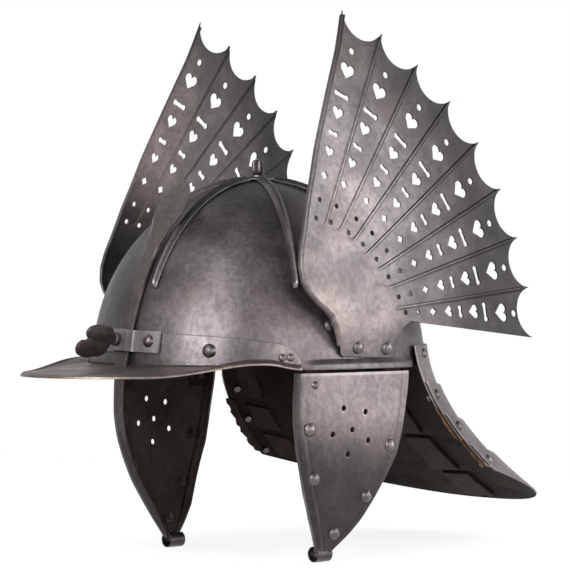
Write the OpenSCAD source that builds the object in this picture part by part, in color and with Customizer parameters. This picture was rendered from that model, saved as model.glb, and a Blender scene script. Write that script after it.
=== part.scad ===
// Lobster-tail helmet with wings. Front is -Y, up is +Z, the wearer's left is +X.
// The origin is the centre of the head opening, level with the rim of the skull.

/* [Skull] */
// Half width of the skull at the rim
skull_half_w = 99; // [85:1:110]
// Length from the centre to the brow
skull_front_l = 115; // [105:1:125]
// Length from the centre to the nape
skull_rear_l = 109; // [100:1:120]
// Height of the crown above the rim
skull_h = 124; // [110:1:135]
// Squareness of the brow plan, 2 is an ellipse
front_power = 2.2; // [2:0.1:2.6]
// Squareness of the nape plan, 2 is an ellipse
rear_power = 2.6; // [2:0.1:2.8]
// Thickness of the iron plate
plate_t = 1.2; // [0.8:0.1:1.6]
// Outward swell of the rim over the ears
swell_out = 4; // [1:0.5:5]
// Height of the swollen rim
swell_h = 7; // [5:0.5:8]

/* [Peak] */
// Half width of the peak
peak_half_w = 92; // [90:1:98]
// How far the peak reaches in front of the centre
peak_reach = 187; // [160:1:200]
// Height of the brow flange at the front
flange_h = 24; // [22:1:28]
// Drop of the peak's edge below the rim at the front
peak_drop = 4; // [2:0.5:6]
// Rise of the peak's edge above the rim at the temples
temple_rise = 3.5; // [0:0.5:4]
// Angle from the front at which the peak ends
peak_end = 62; // [60:0.5:63]

/* [Crown] */
// Turn of the six-armed star about the crown
star_turn = 7; // [0:1:12]
// Width of an arm next to the disc
arm_w_in = 9; // [6:0.5:10]
// Width of an arm at its lower end
arm_w_out = 4.5; // [3:0.5:6]
// Height of an arm's ridge above the skull
arm_rise = 3; // [2:0.5:4]
// Angle above the rim at which an arm ends
arm_end = 25; // [20:1:40]
// Radius of the crown disc
disc_r = 13; // [11:0.5:16]
// Radius of the finial knob
finial_r = 4.2; // [3.5:0.1:6]
// Height of the finial above its disc
finial_h = 12; // [9:0.5:20]

/* [Nasal] */
// Radius of the nasal bar's curve, as a share of the skull's height
bar_curve = 2.28; // [2.2:0.02:2.4]
// Width of the bar
bar_w = 10; // [8:0.5:12]
// Thickness of the bar
bar_t = 2; // [1.5:0.1:2.2]
// Width of the leaf at the bar's upper end
leaf_w = 28; // [20:1:34]
// Height of the bracket strap
strap_h = 14; // [10:1:16]
// Radius of the wing screw's shank
screw_r = 2.5; // [2:0.1:3]
// Height of the wing screw above the rim
screw_z = 18; // [16:0.5:19]

/* [Wings] */
// Inward lean of the wings
wing_lean = 10.5; // [9.5:0.1:11]
// Outward turn of the wings towards the back
wing_toe = 2.3; // [2:0.1:3]
// Feathers in each wing
feathers = 8; // [6:1:9]
// Angle of one feather
feather_a = 9.18; // [8:0.02:9.18]
// Radius of the feather tips about the fan's centre
fan_r = 223; // [205:1:235]
// How much shorter each tip of the lower half is than the one above
tip_trim = 2.3; // [0:0.1:3]
// Depth of the scallops between the tips
scallop = 12.3; // [8:0.1:14]
// Height of the ridges between the feathers
ridge_h = 1.6; // [1:0.1:2.5]
// Depth of the turned front edge
wing_lip = 3.5; // [2:0.1:4]

/* [Cheeks] */
// Distance of a cheek's face from the middle plane
cheek_x = 98.5; // [97:0.5:99]
// Length of a cheek below the rim
cheek_l = 120; // [105:1:124]
// Depth of the turned border
border = 8; // [5:0.5:10]
// Outer radius of the rolled chin loop
loop_r = 5.2; // [4.8:0.1:6]
// Bore radius of the rolled chin loop
loop_bore = 3.6; // [3:0.1:3.8]
// Width of the rolled chin loop
loop_w = 13; // [8:0.5:14]
// Radius of the ear holes
ear_r = 2; // [1.2:0.1:2.4]
// Radius of the ring of ear holes
ear_ring = 16; // [14:0.5:17]

/* [Neck guard] */
// Room between the skull and the guard at the sides
guard_side_room = 3; // [2.5:0.1:5]
// Extra half width at the bottom
guard_w_grow = 16; // [10:1:18]
// Room between the skull and the guard at the nape
guard_room = 2.5; // [2.5:0.1:7]
// Extra length at the bottom
guard_l_grow = 118; // [95:1:125]
// Height of the top edge above the rim
guard_top = 14; // [10:1:16]
// Drop of the guard at the back
guard_drop = 121; // [105:1:126]
// Rise of the side edges at the bottom
guard_lift = 34; // [24:1:38]
// Space between two lames
lame_gap = 0.6; // [0.5:0.1:0.8]

/* [Rivets] */
// Head radius of the large domed rivets
rivet_head = 4.6; // [3.5:0.1:5]
// Head radius of the small domed rivets
small_head = 2.6; // [2:0.1:3]
// Shank radius of a rivet
rivet_r = 1.5; // [1.2:0.1:1.6]
// Thickness of the leather
leather_t = 2; // [1.5:0.1:2.5]

/* [Hidden] */
$fn = 32;

iron = [0.33, 0.31, 0.32];
iron_dark = [0.22, 0.2, 0.2];
iron_brown = [0.32, 0.29, 0.27];
iron_light = [0.45, 0.43, 0.44];
leather = [0.36, 0.22, 0.14];

seat = 0.3;
shank_gap = 0.15;

// Plan of a bowl: distance from the centre at the angle t from the front
function plan_r(t, w, front, rear) =
    let(n = cos(t) > 0 ? front_power : rear_power)
    let(l = cos(t) > 0 ? front : rear)
    1 / pow(pow(abs(sin(t)) / w, n) + pow(abs(cos(t)) / l, n), 1 / n);

// Point of the skull at the angle t from the front and e above the rim, moved out by off
function bowl(t, e, off = 0) =
    let(r = plan_r(t, skull_half_w + off, skull_front_l + off, skull_rear_l + off) * cos(e))
    [r * sin(t), -r * cos(t), (skull_h + off) * sin(e)];
function elevation(z) = asin(min(1, z / skull_h));

// The rim swells over the ears and fades towards the brow and the nape
swell_from = peak_end;
swell_to = 122;
function ramp(x) = let(k = min(1, max(0, x))) k * k * (3 - 2 * k);
// Both the rim and the peak's edge arch up over the temples
arch_from = 21;
arch_w = 25;
arch_to = 49;
function arch(t) =
    ramp((abs(t) - arch_from) / arch_w) - ramp((abs(t) - arch_to) / (peak_end + 2 - arch_to));
function rim_z(t) = temple_rise * arch(t);
function swell(t, z) =
    swell_out * ramp((swell_h - z) / (swell_h * 0.6))
    * ramp((abs(t) - swell_from) / 8) * ramp((swell_to - abs(t)) / 8);
function skull_pt(t, e, off = 0) =
    let(p = bowl(t, e, off))
    let(s = swell(t, p[2]))
    [p[0] + s * sin(t), p[1] - s * cos(t), p[2]];

// A sheet of even thickness through a grid of rows; the outside is where the rows turn to the left
function unit(v) = v / max(norm(v), 0.000001);
function grid_normal(g, i, j, wrap) =
    let(n = len(g[0]))
    let(a = wrap ? g[i][(j + 1) % n] : g[i][min(j + 1, n - 1)])
    let(b = wrap ? g[i][(j + n - 1) % n] : g[i][max(j - 1, 0)])
    let(c = g[min(i + 1, len(g) - 1)][j])
    let(d = g[max(i - 1, 0)][j])
    unit(cross(a - b, c - d));
module sheet(g, t, wrap = false) {
    rows = len(g);
    n = len(g[0]);
    last = wrap ? n - 1 : n - 2;
    outer = [for (i = [0 : rows - 1]) for (j = [0 : n - 1]) g[i][j]];
    inner = [for (i = [0 : rows - 1]) for (j = [0 : n - 1]) g[i][j] - t * grid_normal(g, i, j, wrap)];
    k = rows * n;
    faces = [
        for (i = [0 : rows - 2]) for (j = [0 : last])
            let(a = i * n + j, b = i * n + (j + 1) % n, c = b + n, d = a + n)
            for (f = [[a, c, b], [a, d, c], [k + a, k + b, k + c], [k + a, k + c, k + d]]) f,
        for (j = [0 : last])
            let(a = j, b = (j + 1) % n)
            for (f = [[a, b, k + b], [a, k + b, k + a]]) f,
        for (j = [0 : last])
            let(a = (rows - 1) * n + j, b = (rows - 1) * n + (j + 1) % n)
            for (f = [[a, k + b, b], [a, k + a, k + b]]) f,
        if (!wrap) for (i = [0 : rows - 2])
            let(a = i * n, d = a + n)
            for (f = [[a, k + d, d], [a, k + a, k + d]]) f,
        if (!wrap) for (i = [0 : rows - 2])
            let(b = i * n + n - 1, c = b + n)
            for (f = [[b, c, k + c], [b, k + c, k + b]]) f
    ];
    polyhedron(points = concat(outer, inner), faces = faces, convexity = 6);
}

// Turn what points up +Z so that it points along v
module along(p, v) {
    translate(p)
        rotate([0, acos(v[2] / norm(v)), atan2(v[1], v[0])])
            children();
}
// A domed rivet whose head sits on the plane z = 0, with a shank down to a small tail
head_gap = 0.1;
tail_gap = 0.6;
tail_t = 1;
module shank(grip) {
    translate([0, 0, -grip - tail_gap])
        cylinder(r = rivet_r, h = grip + tail_gap);
    translate([0, 0, -grip - tail_gap - tail_t])
        cylinder(r = rivet_r * 1.5, h = tail_t);
}
module rivet(head, grip) {
    rise = head * 0.62;
    ball = (head * head + rise * rise) / (2 * rise);
    translate([0, 0, head_gap]) intersection() {
        translate([0, 0, rise - ball])
            sphere(r = ball);
        cylinder(r = head + 1, h = rise + 1);
    }
    cylinder(r = rivet_r, h = head_gap * 3);
    shank(grip);
}
module rivet_hole(grip) {
    translate([0, 0, -grip - 3])
        cylinder(r = rivet_r + shank_gap, h = grip + 6);
}

// Places of the rivets, each a point on the outermost plate and its outward direction
function bowl_normal(t, e) =
    unit(cross(bowl(t + 0.5, e) - bowl(t - 0.5, e), bowl(t, e + 0.5) - bowl(t, e - 0.5)));
function on_bowl(t, e, off) = [bowl(t, e) + off * bowl_normal(t, e), bowl_normal(t, e)];

flange_off = seat + plate_t;
peak_large = [for (t = [-31, 31]) on_bowl(t, elevation(12.5), flange_off)];
peak_small = [for (t = [-58, -55, 55, 58]) on_bowl(t, elevation(8), flange_off)];
lining_t = 75;
lining_z = 28.5;
lining_spots = [for (t = [-lining_t, lining_t]) on_bowl(t, elevation(lining_z), 0)];

module skull() {
    cells_t = 60;
    cells_e = 15;
    top_e = 88.6;
    color(iron) difference() {
        sheet([for (i = [0 : cells_e])
               [for (j = [0 : cells_t - 1])
                let(t = 360 * j / cells_t, low = rim_z(t > 180 ? t - 360 : t))
                skull_pt(t > 180 ? t - 360 : t, i < 4
                    ? elevation(low + (swell_h - low) * i / 3)
                    : elevation(swell_h) + (top_e - elevation(swell_h)) * (i - 3) / (cells_e - 3))]],
              plate_t, wrap = true);
        translate([0, 0, skull_h - 10])
            cylinder(r = finial_shank + shank_gap, h = 20);
        for (s = concat(peak_large, peak_small, lining_spots, bracket_spots))
            along(s[0], s[1]) rivet_hole(8);
        for (m = [0, 1]) mirror([m, 0, 0]) {
            flap_frame() for (p = wing_rivet_at) translate([p[0], p[1], 0]) rivet_hole(12);
            for (s = hanger_spots) along(s[0], s[1]) rivet_hole(8);
            along(pivot_spot(0)[0], pivot_spot(0)[1]) rivet_hole(12);
        }
        along(lame_1_back[0], lame_1_back[1]) rivet_hole(8);
    }
}
module lining_rivets() {
    color(iron_light) for (s = lining_spots) along(s[0], s[1]) rivet(rivet_head * 0.85, plate_t + 1);
}

// Crown: a disc, six raised arms that follow the skull, and the finial through all of it
finial_shank = 2.4;
star_arms = [0, 55, 115, 177, 239, 299];
disc_z = skull_h + seat;
disc_t = 2.4;
function arm_pt(t, e, side, rise) =
    let(p = bowl(t, e, seat))
    let(q = p + rise * bowl_normal(t, e))
    q + side * [cos(t), sin(t), 0];
module arm(t) {
    steps = 9;
    start_e = 84.5;
    sheet([for (i = [0 : steps]) let(k = i / steps)
           let(e = arm_end + (start_e - arm_end) * k)
           let(w = arm_w_out + (arm_w_in - arm_w_out) * k)
           [for (s = [[-0.5, 1.2], [-0.22, arm_rise], [0, arm_rise + 0.4], [0.22, arm_rise], [0.5, 1.2]])
               arm_pt(t, e, s[0] * w, s[1])]], 1.1);
}
module crown_star() {
    color(iron_dark) difference() {
        union() {
            for (t = star_arms) arm(star_turn + t);
            translate([0, 0, disc_z])
                cylinder(r1 = disc_r, r2 = disc_r - 1.5, h = disc_t, $fn = 48);
        }
        translate([0, 0, disc_z - 5])
            cylinder(r = finial_shank + shank_gap, h = 12);
    }
}
module finial() {
    nut_depth = 9;
    color(iron_dark) translate([0, 0, disc_z + disc_t]) {
        rotate_extrude() polygon([
            [0, 0], [finial_r + 1, 0], [finial_r + 1, 1], [finial_r - 1.2, 1.8], [finial_r, 3.2],
            [finial_r, finial_h - 3], [finial_r * 0.8, finial_h - 1.2], [finial_r * 0.4, finial_h - 0.2],
            [0, finial_h]]);
        translate([0, 0, -disc_t - nut_depth])
            cylinder(r = finial_shank, h = disc_t + nut_depth + 0.5);
    }
}
module finial_nut() {
    nut_h = 3.5;
    nut_z = skull_h - plate_t - nut_h - 1.2;
    color(iron_dark) translate([0, 0, nut_z]) difference() {
        cylinder(r = 6, h = nut_h, $fn = 6);
        translate([0, 0, -1])
            cylinder(r = finial_shank + 0.05, h = nut_h + 2);
    }
}

// Peak: a brow flange on the skull, then a plate out to the turned edge
function peak_edge_r(t) =
    let(y0 = 30)
    let(l = peak_reach - y0)
    let(a = pow(sin(t) / peak_half_w, 2) + pow(cos(t) / l, 2))
    let(b = -2 * y0 * cos(t) / (l * l))
    let(c = y0 * y0 / (l * l) - 1)
    (-b + sqrt(b * b - 4 * a * c)) / (2 * a);
function flange_top(t) =
    let(k = abs(t) / peak_end)
    max(edge_z(t) + 4.5, (flange_h - 9 * k * k) * sqrt(1 - pow(max(0, (k - 0.86) / 0.145), 2) * 0.9));
edge_lip = 1.6;
root_out = 0.9;
lip_out = 0.8;
function edge_z(t) = -peak_drop + (peak_drop + temple_rise) * ramp((abs(t) - arch_from) / arch_w)
    - temple_rise * ramp((abs(t) - arch_to) / (peak_end - arch_to));
// Rows of the peak: 0 to 3 on the flange, 4 to 7 out to the edge, 8 under the turned edge
function peak_pt(t, v) =
    let(low = bowl(t, 0, flange_off))
    let(r0 = norm([low[0], low[1]]))
    let(reach = max(2.2, peak_edge_r(t) - r0))
    let(z0 = max(2.4, edge_z(t) + edge_lip + 0.9))
    let(z1 = edge_z(t) + edge_lip)
    let(k = (v - 3) / 4)
    v <= 3 ? bowl(t, elevation(flange_top(t) + (z0 + 1.2 - flange_top(t)) * v / 3), flange_off)
    : v <= 7 ? let(r = r0 + root_out + (reach - root_out) * k) [r * sin(t), -r * cos(t), z0 + (z1 - z0) * k]
    : let(r = r0 + reach + lip_out) [r * sin(t), -r * cos(t), z1 - edge_lip];
module peak() {
    cells = 36;
    slot_d = 7;
    slot_y = bar_y - slot_d / 2;
    color(iron_brown) difference() {
        sheet([for (v = [8 : -1 : 0])
               [for (j = [0 : cells]) peak_pt(-peak_end + 2 * peak_end * j / cells, v)]], plate_t);
        translate([-bar_w / 2 - 1.5, -slot_y - slot_d, -12])
            cube([bar_w + 3, slot_d, 20]);
        for (s = concat(peak_large, peak_small, bracket_spots)) along(s[0], s[1]) rivet_hole(8);
    }
}
module peak_rivets() {
    color(iron_light) {
        for (s = peak_large) along(s[0], s[1]) rivet(rivet_head, plate_t * 2 + seat);
        for (s = peak_small) along(s[0], s[1]) rivet(small_head, plate_t * 2 + seat);
    }
}

// Nasal bar: an arc about a far centre behind the skull, so that it slides along itself
bar_y = skull_front_l + flange_off + 5.4;
bar_r = bar_curve * skull_h;
arc_z = -54;
arc_y = sqrt(bar_r * bar_r - arc_z * arc_z) - bar_y;
function bar_at(z) = sqrt(bar_r * bar_r - pow(z - arc_z, 2)) - arc_y;
bar_foot_z = -3;
leaf_from = 78;
leaf_mid = 105;
leaf_top = 124;
module nasal_bar() {
    color(iron_brown) intersection() {
        translate([0, arc_y, arc_z])
            rotate([0, 90, 0])
                difference() {
                    cylinder(r = bar_r + bar_t / 2, h = leaf_w + 4, center = true, $fn = 96);
                    cylinder(r = bar_r - bar_t / 2, h = leaf_w + 6, center = true, $fn = 96);
                }
        translate([0, -30, 0])
            rotate([90, 0, 0])
                linear_extrude(height = bar_y)
                    polygon([
                        [-bar_w / 2, bar_foot_z], [bar_w / 2, bar_foot_z],
                        [bar_w / 2, leaf_from], [leaf_w * 0.3, leaf_from + 13],
                        [leaf_w * 0.44, leaf_mid - 6], [leaf_w / 2, leaf_mid + 1],
                        [leaf_w * 0.42, leaf_mid + 9], [leaf_w * 0.2, leaf_top - 3.5],
                        [0, leaf_top],
                        [-leaf_w * 0.2, leaf_top - 3.5], [-leaf_w * 0.42, leaf_mid + 9],
                        [-leaf_w / 2, leaf_mid + 1], [-leaf_w * 0.44, leaf_mid - 6],
                        [-leaf_w * 0.3, leaf_from + 13], [-bar_w / 2, leaf_from]]);
    }
}

// Bracket: a staple strap over the bar, riveted to the brow flange, leaning with the skull
strap_t = 1.5;
strap_in = bar_w / 2 + 1.5;
strap_reach = 9.5;
foot_end = 29;
foot_room = 0.9;
lean = 8;
foot_y = -bowl(0, elevation(screw_z), flange_off)[1];
function foot_curve(x) =
    -(skull_front_l + flange_off) * pow(1 - pow(x / skull_half_w, front_power), 1 / front_power)
    * cos(elevation(screw_z)) - seat - foot_room;
function strap_side(off) = [
    for (x = [foot_end, 24, 17]) [x, foot_curve(x) - off],
    [strap_in + 0.6 + off, foot_curve(strap_in) - off],
    [strap_in + off, -foot_y - 2.2 - off]];
function flip(list) = [for (i = [len(list) - 1 : -1 : 0]) [-list[i][0], list[i][1]]];
strap_front = foot_y + strap_reach;
bracket_x = 20;
bracket_t = asin(bracket_x / (foot_y - 2));
bracket_spots = [for (t = [-bracket_t, bracket_t])
                 on_bowl(t, elevation(screw_z), flange_off + seat + foot_room + strap_t)];
function strap_nose(off) = [for (s = [1, -1]) [s * (strap_in + off), strap_t - off - strap_front]];
module screw_frame() {
    translate([0, -foot_y, screw_z])
        rotate([-lean, 0, 0])
            translate([0, foot_y, 0])
                children();
}
module nasal_bracket() {
    inner = concat(strap_side(0), strap_nose(0), flip(strap_side(0)));
    outer = concat(strap_side(strap_t), strap_nose(strap_t), flip(strap_side(strap_t)));
    color(iron) difference() {
        screw_frame() difference() {
            translate([0, 0, -strap_h / 2])
                linear_extrude(height = strap_h)
                    polygon(concat(inner, [for (i = [len(outer) - 1 : -1 : 0]) outer[i]]));
            translate([0, -strap_front - 1, 0])
                rotate([-90, 0, 0])
                    cylinder(r = screw_r + 0.05, h = strap_t + 2);
        }
        for (s = bracket_spots) along(s[0], s[1]) rivet_hole(8);
    }
}
module bracket_rivets() {
    color(iron_light) for (s = bracket_spots)
        along(s[0], s[1]) rivet(rivet_head * 0.9, plate_t * 2 + strap_t + seat * 2 + foot_room);
}
// Wing screw: shank through the strap, collar, and a flat two-lobed thumb plate, turned a little
thumb_t = 2.2;
thumb_turn = 20;
module wing_screw() {
    tip_y = bar_at(screw_z) + bar_t / 2 + seat;
    color(iron_dark) screw_frame() {
        translate([0, -tip_y, 0])
            rotate([90, 0, 0])
                cylinder(r = screw_r, h = strap_front - tip_y + 3);
        translate([0, -strap_front - 0.3, 0])
            rotate([90, 0, 0])
                cylinder(r = 4.2, h = 3);
        rotate([0, thumb_turn, 0]) translate([-thumb_t / 2, -strap_front, 0])
            rotate([90, 0, 90])
                linear_extrude(height = thumb_t) {
                    translate([-11, 0.8]) circle(r = 6.6);
                    translate([-19, 0.6]) circle(r = 6.6);
                    translate([-13.5, -8]) circle(r = 5.6);
                    translate([-24.6, -9]) circle(r = 5.8);
                    polygon([[-3, -3], [-3, 3], [-11, 7.4], [-19, 7.2], [-24.6, -3.2], [-24.6, -14.8],
                             [-13.5, -13.6], [-8, -8]]);
                }
    }
}

// Wings: a fan of pierced feathers on a plane that leans in and turns out; below it a flap is bent in
// to the skull, where two rivets hold it
wing_x = 112.8;
fan_at = [-65.7, 29.6];
fan_low = -3;
ridge_from = 69;
flap_at = [-31, 31];
flap_l = 66;
flap_bend = 28;
module wing_frame() {
    translate([wing_x, 0, 0])
        rotate([0, 0, -wing_toe])
            rotate([0, -wing_lean, 0])
                rotate([90, 0, 90])
                    children();
}
module flap_frame() {
    wing_frame() translate([flap_at[0], flap_at[1], 0]) rotate([flap_bend, 0, 0]) children();
}
wing_rivet_at = [[24, -17.5], [50, -18.5]];
tips = [for (i = [0 : feathers])
        let(r = fan_r - tip_trim * max(0, feathers / 2 - i), a = fan_low + i * feather_a)
        fan_at + r * [cos(a), sin(a)]];
// The scallops meet this much short of the plate's corners, so that each tip is one clean edge
tip_cut = 0.2;
front_edge = [[0, 212], [-16, 175], [-29, 145], [-36.5, 124], [-43, 107], [-49, 88], [-53, 77], [-55, 67],
              [-54, 57], [-50, 50], [-43.5, 43.5], [-37, 39], [-31.5, 34]];
flap_edge = [[1.5, -1], [5, -8], [8, -16], [10.2, -21.5], [12.5, -23.5],
             [59, -25.5], [58, -9], [60, -4.5], [64.5, -1]];
module heart(w, l) {
    lobe = w * 0.27;
    for (s = [-1, 1]) translate([l * 0.22, s * (w / 2 - lobe)]) circle(r = lobe);
    polygon([[-l * 0.55, 0], [l * 0.02, -w * 0.47], [l * 0.3, -w * 0.3],
             [l * 0.3, w * 0.3], [l * 0.02, w * 0.47]]);
}
module bone(w, t) {
    for (s = [-1, 1]) translate([0, s * (w / 2 - t * 0.6)]) circle(r = t * 0.6);
    square([t * 0.75, w - t * 1.2], center = true);
}
// The nine holes of a feather, from the tip inwards; the lowest feather's row turns up towards the root
hole_share = [1, 0.875, 0.73, 0.62, 0.5, 0.39, 0.25, 0.125, 0];
module piercing(i) {
    inner = 75 + 3.2 * (feathers - 1 - i);
    outer = fan_r - 24.5;
    for (k = [0 : 8])
        rotate([0, 0, fan_low + (i + 0.5) * feather_a + (i == 0 ? 2.6 * (1 - hole_share[k]) : 0)])
            translate([inner + (outer - inner) * hole_share[k], 0]) {
                if (k == 0) circle(r = 2.3);
                if (k == 1) heart(12.3, 9.5);
                if (k == 2) bone(13.2, 3.2);
                if (k == 3) heart(9.4, 8);
                if (k == 4) bone(8.6, 3);
                if (k == 5) heart(7.4, 6.4);
                if (k == 6) rotate([0, 0, 45]) square(4.2, center = true);
                if (k == 7) circle(r = 1.3);
                if (k == 8) circle(r = 1.7);
            }
}
module wing_lip_band() {
    n = len(front_edge) - 1;
    side = [for (i = [0 : n])
            let(d = front_edge[min(i + 1, n)] - front_edge[max(i - 1, 0)])
            front_edge[i] + plate_t * [-d[1], d[0]] / norm(d)];
    polygon(concat(front_edge, [for (i = [n : -1 : 0]) side[i]]));
}
module wing() {
    wing_frame() {
        translate([0, 0, -plate_t / 2]) linear_extrude(height = plate_t) difference() {
            polygon(concat(tips, front_edge, [flap_at, flap_at + [flap_l, 0]]));
            for (i = [0 : feathers - 1]) {
                mid = (tips[i] + tips[i + 1]) / 2;
                half = norm(tips[i + 1] - tips[i]) / 2;
                r = (half * half + scallop * scallop) / (2 * scallop);
                out = tips[i + 1] - tips[i];
                translate(mid + (r - scallop - tip_cut) * [out[1], -out[0]] / (2 * half))
                    circle(r = r, $fn = 64);
                translate(fan_at) piercing(i);
            }
        }
        translate([0, 0, -wing_lip]) linear_extrude(height = wing_lip) wing_lip_band();
        for (i = [1 : feathers - 1]) {
            start = ridge_from + (feathers - i) * 2.6;
            translate(fan_at)
                rotate([0, 0, fan_low + i * feather_a])
                    translate([start, 0, plate_t / 2])
                        rotate([90, 0, 90])
                            linear_extrude(height = norm(tips[i] - fan_at) - start - 7)
                                polygon([[-1.6, -0.2], [1.6, -0.2], [0, ridge_h]]);
        }
        translate([flap_at[0], flap_at[1], 0]) rotate([0, 90, 0])
            cylinder(r = plate_t / 2, h = flap_l);
    }
    flap_frame() difference() {
        translate([0, 0, -plate_t / 2]) linear_extrude(height = plate_t)
            polygon(concat([[0, 0]], flap_edge, [[flap_l, 0]]));
        for (p = wing_rivet_at) translate([p[0], p[1], 0]) rivet_hole(4);
    }
}
module wing_rivets() {
    grip = 7;
    for (p = wing_rivet_at)
        flap_frame() translate([p[0], p[1], plate_t / 2]) rivet(rivet_head * 0.95, grip);
}
module wing_left() { color(iron) wing(); }
module wing_right() { color(iron) mirror([1, 0, 0]) wing(); }
module wing_rivets_left() { color(iron_light) wing_rivets(); }
module wing_rivets_right() { color(iron_light) mirror([1, 0, 0]) wing_rivets(); }

// Cheeks: a face that narrows and curves in towards the chin, a turned border and a rolled loop
cheek_top = -2.3;
cheek_twist = 0.075;
cheek_bulge = 0.0016;
function down(share) = -cheek_l * share;
front_line = [[cheek_top, -49.5], [down(0.17), -50.7], [down(0.29), -50.8], [down(0.42), -48.4],
              [down(0.54), -44], [down(0.67), -38.4], [down(0.79), -31.1], [down(0.9), -24.5],
              [down(1), -18.5]];
rear_line = [[cheek_top, 46], [down(0.11), 45], [down(0.22), 42.5], [down(0.35), 39.5], [down(0.47), 35.5],
             [down(0.59), 28], [down(0.71), 20.5], [down(0.83), 12.5], [down(0.92), 4], [down(1), -6]];
function edge_at(line, z) = -lookup(-z, [for (p = line) [-p[0], -p[1]]]);
function cheek_face_x(y, z) =
    cheek_x - 0.0026 * pow(max(0, -z - 30), 2) + cheek_twist * (y + 5) - cheek_bulge * pow(y + 5, 2);
function cheek_pt(u, z) =
    let(f = edge_at(front_line, z))
    let(r = edge_at(rear_line, z))
    let(b = border * (0.5 + 0.5 * min(1, (z + cheek_l) / 22)))
    u == 0 ? [cheek_face_x(f, z) - b, f + b * 0.35, z]
    : u == 1 ? [cheek_face_x(f, z) - b * 0.4, f + 0.6, z]
    : u == 9 ? [cheek_face_x(r, z) - b * 0.4, r - 0.4, z]
    : u == 10 ? [cheek_face_x(r, z) - b, r - b * 0.25, z]
    : let(y = f + (r - f) * (u - 2) / 6)
      [cheek_face_x(y, z), y, z];
cheek_rivet_at = [[-41.5, down(0.32)], [-35, down(0.59)], [27, down(0.425)], [11.5, down(0.7)],
                  [-9, down(0.9)]];
function cheek_spot(p) = let(k = 0.0052 * max(0, -p[1] - 30))
    [[cheek_face_x(p[0], p[1]), p[0], p[1]],
     unit([1, -cheek_twist + 2 * cheek_bulge * (p[0] + 5), -k])];
cheek_spots = [for (p = cheek_rivet_at) cheek_spot(p)];
ear_at = [-8, -39.5];
ear_turn = 9;
loop_at = [cheek_face_x(-12, -cheek_l) - loop_r + 0.6, -12, -cheek_l - 1.5];
// The leather hinge: hangers inside the skull above it, tabs inside the cheek below it
tab_w = 16;
tab_y = [-38, 33];
tab_gap = 0.5;
tab_low = -18;
tab_rivet_z = -10;
hanger_low = cheek_top + tab_gap;
hanger_top = 19;
hanger_z = 11.5;
hanger_seat = seat + 0.25;
tab_spots = [for (y = tab_y) cheek_spot([y, tab_rivet_z])];
module cheek() {
    rows = 15;
    difference() {
        union() {
            sheet([for (i = [0 : rows])
                   let(z = -cheek_l + (cheek_l + cheek_top) * i / rows)
                   [for (u = [0 : 10]) cheek_pt(u, z)]], plate_t);
            translate(loop_at) rotate([90, 0, 0])
                cylinder(r = loop_r, h = loop_w, center = true);
        }
        translate(loop_at) rotate([90, 0, 0])
            cylinder(r = loop_bore, h = loop_w + 20, center = true);
        translate([cheek_x - 10, ear_at[0], ear_at[1]]) rotate([0, 90, 0])
            cylinder(r = ear_r, h = 20);
        for (a = [180 + ear_turn : 72 : 470 + ear_turn])
            translate([cheek_x - 10, ear_at[0] + ear_ring * sin(a), ear_at[1] + ear_ring * cos(a)])
                rotate([0, 90, 0]) cylinder(r = ear_r, h = 20);
        for (s = cheek_spots) along(s[0], s[1]) rivet_hole(4);
        for (s = tab_spots) along(s[0], s[1]) rivet_hole(4);
    }
}
module cheek_leathers() {
    difference() {
        for (y = tab_y)
            sheet([for (z = [tab_low, -12, -6, cheek_top])
                   [for (j = [0 : 4])
                    let(q = y + tab_w * (j - 2) / 4)
                    [cheek_face_x(q, z) - plate_t - seat, q, z]]], leather_t);
        for (s = tab_spots) along(s[0], s[1]) rivet_hole(8);
    }
}
washer_t = 0.9;
washer_gap = 0.6;
module cheek_rivets() {
    for (s = cheek_spots) along(s[0], s[1]) rivet(rivet_head * 0.95, plate_t + washer_gap + washer_t);
    grip = plate_t + leather_t + seat * 2;
    along(tab_spots[0][0], tab_spots[0][1]) rivet(small_head, grip);
    along(tab_spots[1][0], tab_spots[1][1]) shank(grip);
}
module cheek_washers() {
    side = 7;
    for (s = cheek_spots) along(s[0], s[1]) difference() {
        translate([-side / 2, -side / 2, -plate_t - washer_gap - washer_t])
            cube([side, side, washer_t]);
        rivet_hole(8);
    }
}
function hanger_spot(y) = let(t = 90 + atan2(y, skull_half_w)) on_bowl(t, elevation(hanger_z), 0);
hanger_spots = [for (y = tab_y) hanger_spot(y)];
module cheek_hangers() {
    half_t = atan2(tab_w / 2, skull_half_w);
    difference() {
        for (y = tab_y)
            sheet([for (z = [hanger_low, 0, 6, 12, hanger_top])
                   [for (j = [0 : 4])
                    let(t = 90 + atan2(y, skull_half_w) + half_t * (j - 2) / 2)
                    let(p = bowl(t, elevation(max(z, 0)), -plate_t - hanger_seat))
                    [p[0], p[1], z]]], leather_t);
        for (s = hanger_spots) along(s[0], s[1]) rivet_hole(8);
    }
}
module hanger_rivets() {
    for (s = hanger_spots) along(s[0], s[1]) shank(plate_t + leather_t + hanger_seat);
}
module cheek_left() { color(iron) cheek(); }
module cheek_right() { color(iron) mirror([1, 0, 0]) cheek(); }
module cheek_rivets_left() { color(iron_light) cheek_rivets(); }
module cheek_rivets_right() { color(iron_light) mirror([1, 0, 0]) cheek_rivets(); }
module cheek_washers_left() { color(iron_dark) cheek_washers(); }
module cheek_washers_right() { color(iron_dark) mirror([1, 0, 0]) cheek_washers(); }
module cheek_leathers_left() { color(leather) cheek_leathers(); }
module cheek_leathers_right() { color(leather) mirror([1, 0, 0]) cheek_leathers(); }
module cheek_hangers_left() { color(leather) cheek_hangers(); }
module cheek_hangers_right() { color(leather) mirror([1, 0, 0]) cheek_hangers(); }
module hanger_rivets_left() { color(iron_light) hanger_rivets(); }
module hanger_rivets_right() { color(iron_light) mirror([1, 0, 0]) hanger_rivets(); }

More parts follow.
